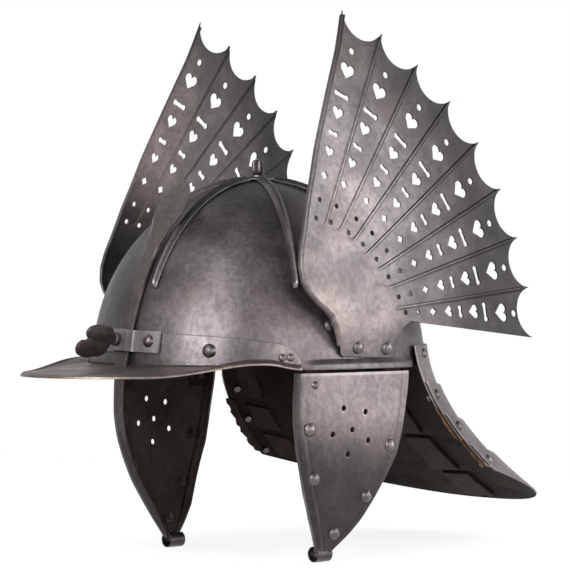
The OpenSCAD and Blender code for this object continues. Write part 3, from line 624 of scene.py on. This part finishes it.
thumb_curve = bpy.data.curves.new("thumb_outline", "CURVE")
thumb_curve.dimensions = "2D"
thumb_curve.fill_mode = "BOTH"
thumb_curve.extrude = thumb_half_t * mm
thumb_curve.bevel_depth = thumb_round * mm
thumb_curve.bevel_resolution = 2
thumb_curve.offset = -thumb_round * mm
thumb_spline = thumb_curve.splines.new("BEZIER")
thumb_spline.bezier_points.add(len(thumb_line) - 1)
for point, (out, up) in zip(thumb_spline.bezier_points, thumb_line):
    point.co = (out * mm, up * mm, 0)
    point.handle_left_type = "AUTO"
    point.handle_right_type = "AUTO"
thumb_spline.use_cyclic_u = True
thumb_blank = bpy.data.objects.new("thumb_blank", thumb_curve)
bpy.context.scene.collection.objects.link(thumb_blank)
thumb_mesh = made_mesh(thumb_blank)
bpy.data.objects.remove(thumb_blank)
screw_form = bmesh.new()
screw_form.from_mesh(thumb_mesh)
bmesh.ops.remove_doubles(screw_form, verts=screw_form.verts, dist=0.00001)
bpy.data.meshes.remove(thumb_mesh)
bmesh.ops.transform(screw_form, verts=screw_form.verts,
                    matrix=Matrix.Rotation(quarter, 4, "Z") @ Matrix.Rotation(quarter, 4, "X"))
add_form(screw_form, turned_form([(0, 0.3), (4.2, 0.3), (4.2, 2.6), (3.5, 3.3), (0, 3.3)], steps=32),
         Matrix.Rotation(quarter, 4, "X"))
add_form(screw_form, turned_form([(0, -6.5), (2.5, -6.5), (2.5, 1), (0, 1)], steps=24),
         Matrix.Rotation(quarter, 4, "X"))
screw_place = (Matrix.Translation((0, -screw_foot * mm, screw_z * mm))
               @ Matrix.Rotation(screw_lean, 4, "X") @ Matrix.Translation((0, screw_foot * mm, 0))
               @ Matrix.Rotation(screw_turned, 4, "Y") @ Matrix.Translation((0, -screw_strap * mm, 0)))
bmesh.ops.transform(screw_form, matrix=screw_place, verts=screw_form.verts)
piece("thumb_screw", screw_form, "screw", (screw_iron,), ("wing_screw",), edge=0)

# Wings: each a fan of eight feathers cut from one sheet of iron, pierced with hearts, bars and dots,
# with a pressed ridge between the feathers. Two rivets hold its bent flap to the skull.
sides = ((1, "left"), (-1, "right"))
# Painted light and shade on the wings: the iron darkens away from the foot, and most on the far feathers,
# so the root looks lit.
wing_painted_shades = (((0, 0.003, -0.01), 0.02, 0.05, 0.5), ((0, -0.06, 0.09), 0.07, 0.165, 0.93))
wing_iron = iron("wing_iron", (0.13, 0.115, 0.116), (0.235, 0.208, 0.21), rough=0.48, worn=0,
                 polish=0.04, painted_shades=wing_painted_shades)
# Painted highlight: a lighter copy of the wing iron for the crest of each pressed ridge.
crest_highlight_iron = iron("crest_highlight_iron", (0.21, 0.187, 0.19), (0.38, 0.338, 0.343), rough=0.48, worn=0,
                  polish=0.04, painted_shades=wing_painted_shades)
feathers = 8
feather_a = 9.18
fan_at = Vector((-65.7, 29.6))
fan_low = -3
fan_r = 222.7
tip_trim = 2.3
scallop = 12.3
scallop_in = 12.5
ring_low = 75
ring_step = 3.2
ring_room = 24.5
wing_half_t = 0.45
wing_round = 0.15
ridge_cuts = (-1.9, -0.9, 0, 0.6, 1.5)
crest_w = 0.6
flap_at = Vector((-31, 31))
flap_l = 66
flap_bend = math.radians(28)
flap_end = flap_at.x + flap_l + 0.3
bend_reach = 16
bend_room = 12
front_edge = ((0, 212), (-16, 175), (-29, 145), (-36.5, 124), (-43, 107), (-49, 88), (-53, 77), (-55, 67),
              (-54, 57), (-50, 50), (-43.5, 43.5), (-37, 39), (-31.5, 34))
flap_edge = ((1.5, -1), (5, -8), (8, -16), (10.2, -21.5), (12.5, -23.5), (59, -25.5), (58, -9),
             (60, -4.5), (64.5, -1))
wing_place = (Matrix.Translation((112.8 * mm, 0, 0)) @ Matrix.Rotation(math.radians(-2.3), 4, "Z")
              @ Matrix.Rotation(math.radians(-10.5), 4, "Y") @ Matrix.Rotation(quarter, 4, "Z")
              @ Matrix.Rotation(quarter, 4, "X"))


def ray(angle, r):
    return Vector((r * math.cos(math.radians(angle)), r * math.sin(math.radians(angle))))


def arc_points(centre, r, start, sweep, count):
    return [centre + ray(start + sweep * i / (count - 1), r) for i in range(count)]


tips = [fan_at + ray(fan_low + i * feather_a, fan_r - tip_trim * max(0, feathers / 2 - i))
        for i in range(feathers + 1)]
outline = []
for low, high in zip(tips, tips[1:]):
    chord = high - low
    half = chord.length / 2
    r = (half ** 2 + scallop ** 2) / (2 * scallop)
    out = Vector((chord.y, -chord.x)).normalized()
    centre = (low + high) / 2 + (r - scallop_in) * out
    open_a = math.degrees(math.asin(min(1, half / r)))
    toward = math.degrees(math.atan2(-out.y, -out.x))
    outline.append(low)
    outline += arc_points(centre, r, toward + open_a, -2 * open_a, 18)[1:-1]
outline.append(tips[-1])
outline += [Vector(p) for p in front_edge]
outline.append(flap_at)
outline += [flap_at + Vector(p) for p in flap_edge]
outline.append(flap_at + Vector((flap_l, 0)))


def heart(wide, long):
    lobe = wide * 0.265
    shape = [Vector((-long * 0.55, 0)), Vector((long * 0.02, -wide * 0.46))]
    for side in (-1, 1):
        centre = Vector((long * 0.22, side * (wide / 2 - lobe)))
        shape += arc_points(centre, lobe, -112 if side < 0 else -66, 178, 10)
    shape.append(Vector((long * 0.02, wide * 0.46)))
    return shape


def slot_hole(wide, t):
    end = wide / 2 - t * 0.6
    waist = t * 0.37
    return (arc_points(Vector((0, end)), t * 0.6, -38, 256, 12)
            + arc_points(Vector((0, -end)), t * 0.6, 142, 256, 12)
            + [Vector((waist, -end + t * 0.5))])


def dot(r):
    return arc_points(Vector((0, 0)), r, 0, 345, 16)


# Each hole's place along its feather, 0 at the root and 1 at the tip, and its shape.
hole_row = ((1, dot(2.3)), (0.875, heart(12.3, 9.5)), (0.73, slot_hole(13.2, 3.2)), (0.62, heart(9.4, 8)),
            (0.5, slot_hole(8.6, 3)), (0.39, heart(7.4, 6.4)),
            (0.25, [ray(a, 2.97) for a in (0, 90, 180, 270)]), (0.107, dot(1.7)), (0, dot(1.7)))
holes = []
for i in range(feathers):
    inner = ring_low + ring_step * (feathers - 1 - i)
    for share, shape in hole_row:
        turn = fan_low + (i + 0.5) * feather_a + (2.6 * (1 - share) if i == 0 else 0)
        if i > 5:
            turn += 0.8 + 1.2 * (1 - share)
        centre = fan_at + ray(turn, inner + (fan_r - ring_room - inner) * share)
        spin = Matrix.Rotation(math.radians(turn), 2)
        holes.append([centre + spin @ p for p in shape])

wing_curve = bpy.data.curves.new("wing_outline", "CURVE")
wing_curve.dimensions = "2D"
wing_curve.fill_mode = "BOTH"
wing_curve.extrude = wing_half_t * mm
wing_curve.bevel_depth = wing_round * mm
wing_curve.bevel_resolution = 0
wing_curve.offset = -wing_round * mm
for shape in [outline] + holes:
    spline = wing_curve.splines.new("POLY")
    spline.points.add(len(shape) - 1)
    for point, p in zip(spline.points, shape):
        point.co = (p.x * mm, p.y * mm, 0, 1)
    spline.use_cyclic_u = True
wing_blank = bpy.data.objects.new("wing_blank", wing_curve)
bpy.context.scene.collection.objects.link(wing_blank)
flat_wing = made_mesh(wing_blank)
bpy.data.objects.remove(wing_blank)


def ridge_start(i):
    return 69 + (feathers - i) * 2.6


def from_fan(co):
    return Vector((co.x / mm, co.y / mm)) - fan_at


def cut(form, faces, point, across):
    verts = dict.fromkeys(v for f in faces for v in f.verts)
    edges = dict.fromkeys(e for f in faces for e in f.edges)
    geom = [*verts, *edges, *faces]
    bmesh.ops.bisect_plane(form, geom=geom, plane_co=(point.x * mm, point.y * mm, 0),
                           plane_no=(across.x, across.y, 0), dist=0.00001)


def pressed_wing():
    form = bmesh.new()
    form.from_mesh(flat_wing)
    bmesh.ops.remove_doubles(form, verts=form.verts, dist=0.00001)
    for i in range(1, feathers):
        along = ray(fan_low + i * feather_a, 1)
        across = Vector((-along.y, along.x))
        for off in ridge_cuts:
            cut(form, form.faces[:], fan_at + off * across, across)
        for further in (0, 4, 9, 50, 90):
            near = []
            for face in form.faces:
                p = from_fan(face.calc_center_median())
                if ridge_cuts[0] < p.dot(across) < ridge_cuts[-1] and p.dot(along) > 0:
                    near.append(face)
            cut(form, near, fan_at + (ridge_start(i) + further) * along, along)
    for step in range(-4, 5):
        level = Vector((0, flap_at.y + bend_reach * step / 4))
        cut(form, form.faces[:], level, Vector((0, 1)))
    for room in (0, 4, 8, 12):
        low = [face for face in form.faces if face.calc_center_median().y < (flap_at.y + bend_reach) * mm]
        cut(form, low, Vector((flap_end - room, 0)), Vector((1, 0)))
    for vert in form.verts:
        p = from_fan(vert.co)
        for i in range(1, feathers):
            along = ray(fan_low + i * feather_a, 1)
            r = p.dot(along)
            off = p.dot(Vector((-along.y, along.x)))
            first = ridge_start(i)
            if r > first and ridge_cuts[0] + 0.01 < off < ridge_cuts[-1] - 0.01:
                grown = min(1, (r - first) / 100)
                slope = 1.4 + 0.4 * grown if off < 0 else 0.7 + 0.2 * grown
                high = (0.8 + 0.4 * grown) * ramp((r - first) / 9 + 0.1)
                vert.co.z += high * mm * max(0, 1 - max(0, -off, off - crest_w) / slope)
    # Painted highlight: the crest of each ridge takes the lighter crest finish.
    for face in form.faces:
        p = from_fan(face.calc_center_median())
        for i in range(1, feathers):
            along = ray(fan_low + i * feather_a, 1)
            off = p.dot(Vector((-along.y, along.x)))
            if p.dot(along) > ridge_start(i) + 4 and 0 < off < crest_w:
                face.material_index = 1
    return form


def bent_in(p):
    start = flap_at.y + bend_reach
    below = start - p.y / mm
    room = flap_end - p.x / mm
    if below <= 0 or room <= 0:
        return p
    bend_r = bend_reach / math.tan(flap_bend / 2)
    bend = flap_bend * min(1, below / (2 * bend_reach))
    rest = max(0, below - 2 * bend_reach)
    y = start - bend_r * math.sin(bend) - rest * math.cos(bend)
    z = -bend_r * (1 - math.cos(bend)) - rest * math.sin(bend)
    skin = p.z / mm
    bent = Vector((p.x / mm, y + skin * math.sin(bend), z + skin * math.cos(bend))) * mm
    return p.lerp(bent, max(ramp(room / bend_room), ramp((below - bend_reach) / bend_reach)))


lip_turn_v = 0.45
lip_deep = 1.6
lip_taper = 0.12
lip_wall = 1.1
lip_line = [tips[-1] + Vector((-1, -3))] + [Vector(p) for p in front_edge]
lip_line += [flap_at + Vector(p) for p in ((0, 0), (1.5, -1), (5, -8), (8, -15))]


def front_lip(u, v):
    k = u * (len(lip_line) - 1)
    i = min(len(lip_line) - 2, int(k))
    p = lip_line[i].lerp(lip_line[i + 1], k - i)
    before = lip_line[max(0, i - (1 if k - i < 0.5 else 0))]
    after = lip_line[min(len(lip_line) - 1, i + (2 if k - i > 0.5 else 1))]
    run = (after - before).normalized()
    inward = Vector((-run.y, run.x))
    turn = min(1, v / lip_turn_v) * math.pi / 2
    deep = max(0, lip_deep * (v - lip_turn_v) / (1 - lip_turn_v))
    q = p + inward * (1 - math.sin(turn) + plate_t * (1 - ramp(u / lip_taper)))
    return Vector((q.x, q.y, plate_t / 2 - (1 - math.cos(turn)) - deep))


def to_right(form):
    bmesh.ops.scale(form, vec=(-1, 1, 1), verts=form.verts)
    bmesh.ops.reverse_faces(form, faces=form.faces)


for side, name in sides:
    form = pressed_wing()
    lip_form = sheet_form(72, 9, front_lip)
    bmesh.ops.solidify(lip_form, geom=lip_form.faces[:], thickness=lip_wall * mm)
    add_form(form, lip_form)
    for vert in form.verts:
        vert.co = bent_in(vert.co.copy())
    bmesh.ops.transform(form, matrix=wing_place, verts=form.verts)
    if side < 0:
        to_right(form)
    piece("wing_fan_" + name, form, "helmet", (wing_iron, crest_highlight_iron), ("wing_" + name,), edge=0,
          smooth_to=25)
    keep_node("wing_rivets_" + name, rivet_iron)

# Cheeks: each a tapering plate, domed a little, with its long edges folded in, six ear holes and a
# rolled loop at the tip for the chin strap. It hangs on two leather tabs inside the rim.
# Painted shade: the cheek's iron darkens with the distance from a point just above its top, so the top
# looks lit.
cheek_iron = iron("cheek_iron", (0.08, 0.068, 0.07), (0.145, 0.128, 0.128), rough=0.44, pitted=0.35,
                  worn=0.3, polish=0.05, painted_shades=(((0, 0, 0.02), 0.03, 0.09, 0.76),))
front_line = ((-120, -18.5), (-108, -24.5), (-94.8, -31.1), (-80.4, -38.4), (-64.8, -44), (-50.4, -48.4),
              (-34.8, -50.8), (-20.4, -50.7), (-2.3, -49.5))
rear_line = ((-120, -6), (-110.4, 4), (-99.6, 12.5), (-85.2, 20.5), (-70.8, 28), (-56.4, 35.5),
             (-42, 39.5), (-26.4, 42.5), (-13.2, 45), (-2.3, 46))
cheek_low = -120
cheek_l = 117.7
cheek_x = 98.5
cheek_mid = -5
fold_w = 8
fold_u = 0.1
hem_w = 3.6
groove_w = 2.6
ear_y = -8
ear_z = -39.5
ear_ring = 16
ear_hole_r = 2
drill_x = 95
drill_l = 60


def smooth_at(line, z):
    low = max(z - 3, line[0][0])
    high = min(z + 3, line[-1][0])
    return (width_at(line, low) + 2 * width_at(line, z) + width_at(line, high)) / 4


def cheek_face_x(y, z):
    off = y - cheek_mid
    return cheek_x - 0.0026 * max(0, -z - 30) ** 2 + 0.075 * off - 0.0016 * off ** 2


# U goes from the front fold to the rear fold, v from the tip up to the rim.
def cheek_at(u, v):
    z = cheek_low + cheek_l * v
    f = smooth_at(front_line, z)
    r = smooth_at(rear_line, z)
    b = fold_w * (0.5 + 0.5 * min(1, (z - cheek_low) / 22))
    front = (Vector((cheek_face_x(f, z) - b, f + b * 0.35, z)),
             Vector((cheek_face_x(f, z) - b * 0.4, f + 0.6, z)), Vector((cheek_face_x(f, z), f + 1.2, z)))
    rear = (Vector((cheek_face_x(r, z), r - 1.2, z)), Vector((cheek_face_x(r, z) - b * 0.4, r - 0.4, z)),
            Vector((cheek_face_x(r, z) - b, r - b * 0.25, z)))
    if u < fold_u:
        k = 2 * u / fold_u
        return front[0].lerp(front[1], k) if k < 1 else front[1].lerp(front[2], k - 1)
    if u > 1 - fold_u:
        k = 2 * (u - 1 + fold_u) / fold_u
        return rear[0].lerp(rear[1], k) if k < 1 else rear[1].lerp(rear[2], k - 1)
    y = f + 1.2 + (r - f - 2.4) * (u - fold_u) / (1 - 2 * fold_u)
    p = Vector((cheek_face_x(y, z), y, z))
    inner = min(u - fold_u, 1 - fold_u - u) / (1 - 2 * fold_u) * (r - f)
    hem = math.sin(math.pi * min(1, inner / hem_w)) * 0.55
    groove = math.sin(math.pi * min(1, max(0, inner - hem_w) / groove_w)) * 0.35
    p.x += hem - groove + dents(p, dent_deep) * ramp(inner / 6) - dent_deep
    return p


# Each hole goes through the plate's wall, and takes the second finish, as the inner face does; on the
# cheeks this dark finish is painted shade in the holes.
def drilled(form, thick, spots, r, finishes):
    plate_mesh = bpy.data.meshes.new("blank")
    form.to_mesh(plate_mesh)
    form.free()
    for finish in finishes:
        plate_mesh.materials.append(finish)
    blank = bpy.data.objects.new("blank", plate_mesh)
    drill_form = bmesh.new()
    for y, z in spots:
        aim = Matrix.Translation(Vector((drill_x, y, z)) * mm) @ Matrix.Rotation(quarter, 4, "Y")
        bmesh.ops.create_cone(drill_form, cap_ends=True, segments=20, radius1=r * mm, radius2=r * mm,
                              depth=drill_l * mm, matrix=aim)
    for face in drill_form.faces:
        face.material_index = 1
    drill_mesh = bpy.data.meshes.new("drill")
    drill_form.to_mesh(drill_mesh)
    drill_form.free()
    drill = bpy.data.objects.new("drill", drill_mesh)
    for one in (blank, drill):
        bpy.context.scene.collection.objects.link(one)
    wall = blank.modifiers.new("wall", "SOLIDIFY")
    wall.thickness = thick * mm
    wall.offset = -1
    wall.use_even_offset = True
    wall.material_offset = 1
    holes_cut = blank.modifiers.new("holes", "BOOLEAN")
    holes_cut.object = drill
    holes_cut.solver = "EXACT"
    cut_mesh = made_mesh(blank)
    made = bmesh.new()
    made.from_mesh(cut_mesh)
    for one in (blank, drill):
        bpy.data.objects.remove(one)
    for one in (cut_mesh, plate_mesh, drill_mesh):
        bpy.data.meshes.remove(one)
    return made


def old_leather(name, dark, light):
    finish = bpy.data.materials.new(name)
    finish.use_nodes = True
    tree = finish.node_tree
    shader = tree.nodes["Principled BSDF"]
    shader.inputs["Roughness"].default_value = 0.75
    shader.inputs["Specular IOR Level"].default_value = 0.08
    place = tree.nodes.new("ShaderNodeTexCoord")
    cloud = tree.nodes.new("ShaderNodeTexNoise")
    cloud.inputs["Scale"].default_value = 90
    cloud.inputs["Detail"].default_value = 6
    tree.links.new(place.outputs["Object"], cloud.inputs["Vector"])
    tones = tree.nodes.new("ShaderNodeValToRGB")
    tones.color_ramp.elements[0].position = 0.35
    tones.color_ramp.elements[0].color = (*dark, 1)
    tones.color_ramp.elements[1].position = 0.68
    tones.color_ramp.elements[1].color = (*light, 1)
    tree.links.new(cloud.outputs["Fac"], tones.inputs["Fac"])
    tree.links.new(tones.outputs["Color"], shader.inputs["Base Color"])
    grain = tree.nodes.new("ShaderNodeTexVoronoi")
    grain.inputs["Scale"].default_value = 900
    tree.links.new(place.outputs["Object"], grain.inputs["Vector"])
    bump = tree.nodes.new("ShaderNodeBump")
    bump.inputs["Strength"].default_value = 0.5
    bump.inputs["Distance"].default_value = 0.0004
    tree.links.new(grain.outputs["Distance"], bump.inputs["Height"])
    tree.links.new(bump.outputs["Normal"], shader.inputs["Normal"])
    return finish


leather = old_leather("strap_leather", (0.006, 0.004, 0.003), (0.018, 0.011, 0.008))
leather_t = 2
tab_w = 16
loop_r = 4.4
loop_wall = 0.8
loop_open = math.radians(330)
loop_turned = math.radians(-75)
loop_at = Vector((cheek_face_x(-12, cheek_low) - 4.6, -12, -121.5))


def rolled_loop():
    form = bmesh.new()
    ring = [form.verts.new((loop_at + Vector((loop_r, y, 0))) * mm) for y in (-6.4, -3, 3, 6.4)]
    edges = [form.edges.new(pair) for pair in zip(ring, ring[1:])]
    bmesh.ops.spin(form, geom=ring + edges, cent=loop_at * mm, axis=(0, 1, 0), angle=loop_open, steps=36,
                   use_merge=False)
    bmesh.ops.rotate(form, verts=form.verts, cent=loop_at * mm,
                     matrix=Matrix.Rotation(loop_turned, 3, "Y"))
    bmesh.ops.solidify(form, geom=form.faces[:], thickness=loop_wall * mm)
    return form


def tab_at(y):
    def place(u, v):
        z = -18 + 15.7 * v
        q = y + tab_w * (u - 0.5) * (0.94 + 0.06 * ramp(v / 0.2))
        return Vector((cheek_face_x(q, z) - plate_t - seat, q, z))
    return place


def hanger_at(y):
    def place(u, v):
        z = -1.8 + 20.8 * v
        half = math.degrees(math.atan2(tab_w / 2, skull_half_w))
        turn = 90 + math.degrees(math.atan2(y, skull_half_w)) + half * (2 * u - 1)
        p = bowl(turn, height_angle(max(z, 0)), -plate_t - seat - 0.25)
        return Vector((p.x, p.y, z))
    return place


cheek_irons = (cheek_iron, inside_and_shade_iron)
for side, name in sides:
    body = "cheek_l" if side > 0 else "cheek_r"
    ear_holes = [(ear_y, ear_z)]
    for angle in range(189, 549, 72):
        spot = ray(angle, ear_ring)
        ear_holes.append((ear_y + spot.y, ear_z + spot.x))
    form = drilled(sheet_form(110, 90, cheek_at), plate_t, ear_holes, ear_hole_r, cheek_irons)
    tabs = bmesh.new()
    hangers = bmesh.new()
    for y in (-38, 33):
        add_form(tabs, sheet_form(12, 14, tab_at(y)))
        add_form(hangers, sheet_form(12, 16, hanger_at(y)))
    loop_form = rolled_loop()
    if side < 0:
        for one in (form, tabs, hangers, loop_form):
            to_right(one)
    piece("cheek_plate_" + name, form, body, cheek_irons, ("cheek_" + name,), edge=0.25)
    piece("chin_loop_" + name, loop_form, body, (cheek_iron,), edge=0.15)
    piece("cheek_tabs_" + name, tabs, body, (leather,), ("cheek_leathers_" + name,),
          thick=leather_t, edge=0.5)
    piece("cheek_hanger_straps_" + name, hangers, "helmet", (leather,),
          ("cheek_hangers_" + name,), thick=leather_t, edge=0.5)
    keep_node("cheek_rivets_" + name, rivet_iron)
    keep_node("cheek_washers_" + name, rivet_iron)
    keep_node("hanger_rivets_" + name, rivet_iron)

# Neck guard: four lames of sheet iron, each over the lower edge of the one above, riveted to leathers at
# the sides and the back so that the tail can flex. The top lame is riveted to the skull.
lame_iron = iron("lame_iron", (0.078, 0.068, 0.067), (0.142, 0.127, 0.125), rough=0.44, pitted=0.45,
                 worn=0.6)
# Painted shade: the guard's inner faces are near black, far darker than the iron outside.
lame_inside_painted_shade = iron("lame_inside_painted_shade", (0.006, 0.0045, 0.0036), (0.016, 0.0118, 0.0094), rough=0.75,
                   pitted=0.5, worn=0, polish=0)
lame_side = ((0, 0.48), (0.28, 0.73), (0.54, 0.96), (0.79, 1))
lame_back = ((0, 0.32), (0.26, 0.56), (0.5, 0.8), (0.74, 1))
lame_bodies = ("helmet", "neck_2", "neck_3", "neck_4")
lame_step = 1.8
psi_0 = 24.3
psi_half = 65.7
guard_half_w = 102
guard_flare = 16
guard_rear_l = 111.5
guard_reach = 118
guard_top_z = 14
guard_h = 121
side_lift = 34
guard_power = 2 / 2.38


# Psi goes round the guard from the wearer's left, h down from its top edge, and off stands out from it.
def guard_at(psi, h, off):
    def base(a, k):
        c = math.cos(math.radians(a))
        s = math.sin(math.radians(a))
        half_w = guard_half_w + guard_flare * k
        rear = guard_rear_l + guard_reach * max(k, 0) ** 1.9
        drop = guard_h * k - side_lift * k * ((90 - a) / psi_half) ** 2
        return Vector((half_w * math.copysign(abs(c) ** guard_power, c), rear * abs(s) ** guard_power,
                       guard_top_z - drop))
    up = base(psi, h - 0.01) - base(psi, h + 0.01)
    normal = up.cross(base(psi + 0.5, h) - base(psi - 0.5, h)).normalized()
    return base(psi, h) - off * normal


def lame_place(k):
    def place(u, v):
        psi = psi_0 + (180 - 2 * psi_0) * u
        m = (abs(90 - psi) / psi_half) ** 2
        h0 = lame_back[k][0] * (1 - m) + lame_side[k][0] * m
        h1 = lame_back[k][1] * (1 - m) + lame_side[k][1] * m
        return guard_at(psi, h1 + (h0 - h1) * v, plate_t + k * lame_step)
    return place


def strap_place(psi, span, k):
    def place(u, v):
        h = span[1] + (span[0] - span[1]) * v
        return guard_at(psi + strap_girth * (u - 0.5), h, k * lame_step - seat)
    return place


side_spans = ((0.18, 0.42), (0.5, 0.67), (0.74, 0.925))
back_spans = ((0.16, 0.3), (0.34, 0.54), (0.58, 0.78), (0.82, 0.96))
strap_in = 9.5
strap_girth = 8
for k, body in enumerate(lame_bodies):
    name = str(k + 1)
    piece("lame_plate_" + name, sheet_form(120, 26, lame_place(k)), body,
          (lame_iron, lame_inside_painted_shade), ("lame_" + name,), thick=plate_t)
    straps = sheet_form(8, 16, strap_place(90, back_spans[k], k))
    if k < len(side_spans):
        for psi in (psi_0 + strap_in, 180 - psi_0 - strap_in):
            add_form(straps, sheet_form(8, 16, strap_place(psi, side_spans[k], k)))
    piece("neck_straps_" + name, straps, body, (leather,), ("neck_leathers_" + name,),
          thick=leather_t, edge=0.5)
    keep_node("lame_rivets_" + name, rivet_iron)

# Leather edging: what is left of a strip that lined the sides of the guard and shows past the plates. It
# is worn to the brown hide on the wearer's left; on the right it takes the black strap leather as painted
# shade.
edging_leather = old_leather("edging_leather", (0.014, 0.008, 0.005), (0.055, 0.027, 0.014))
edging_past = 1.1
edging_girth = 3
edging_t = 1.3


def edging_place(k, h_from, h_to, turned):
    def place(u, v):
        h = h_to + (h_from - h_to) * v
        ragged = 0.3 * math.sin(h * 67 + k) + 0.08 * math.sin(h * 173)
        psi = psi_0 - edging_past + ragged * (1 - u) + edging_girth * u
        return guard_at(180 - psi if turned else psi, h, k * lame_step - seat - 0.2)
    return place


for k, h_from, h_to in ((1, 0.485, 0.73), (2, 0.735, 0.95)):
    edging = bmesh.new()
    for turned in (False, True):
        strip = sheet_form(8, 40, edging_place(k, h_from, h_to, turned))
        # Painted shade: the strip on the wearer's right takes the black strap leather.
        if turned:
            bmesh.ops.reverse_faces(strip, faces=strip.faces)
            for face in strip.faces:
                face.material_index = 1
        add_form(edging, strip)
    piece("neck_edging_" + str(k + 1), edging, lame_bodies[k], (edging_leather, leather),
          thick=edging_t)
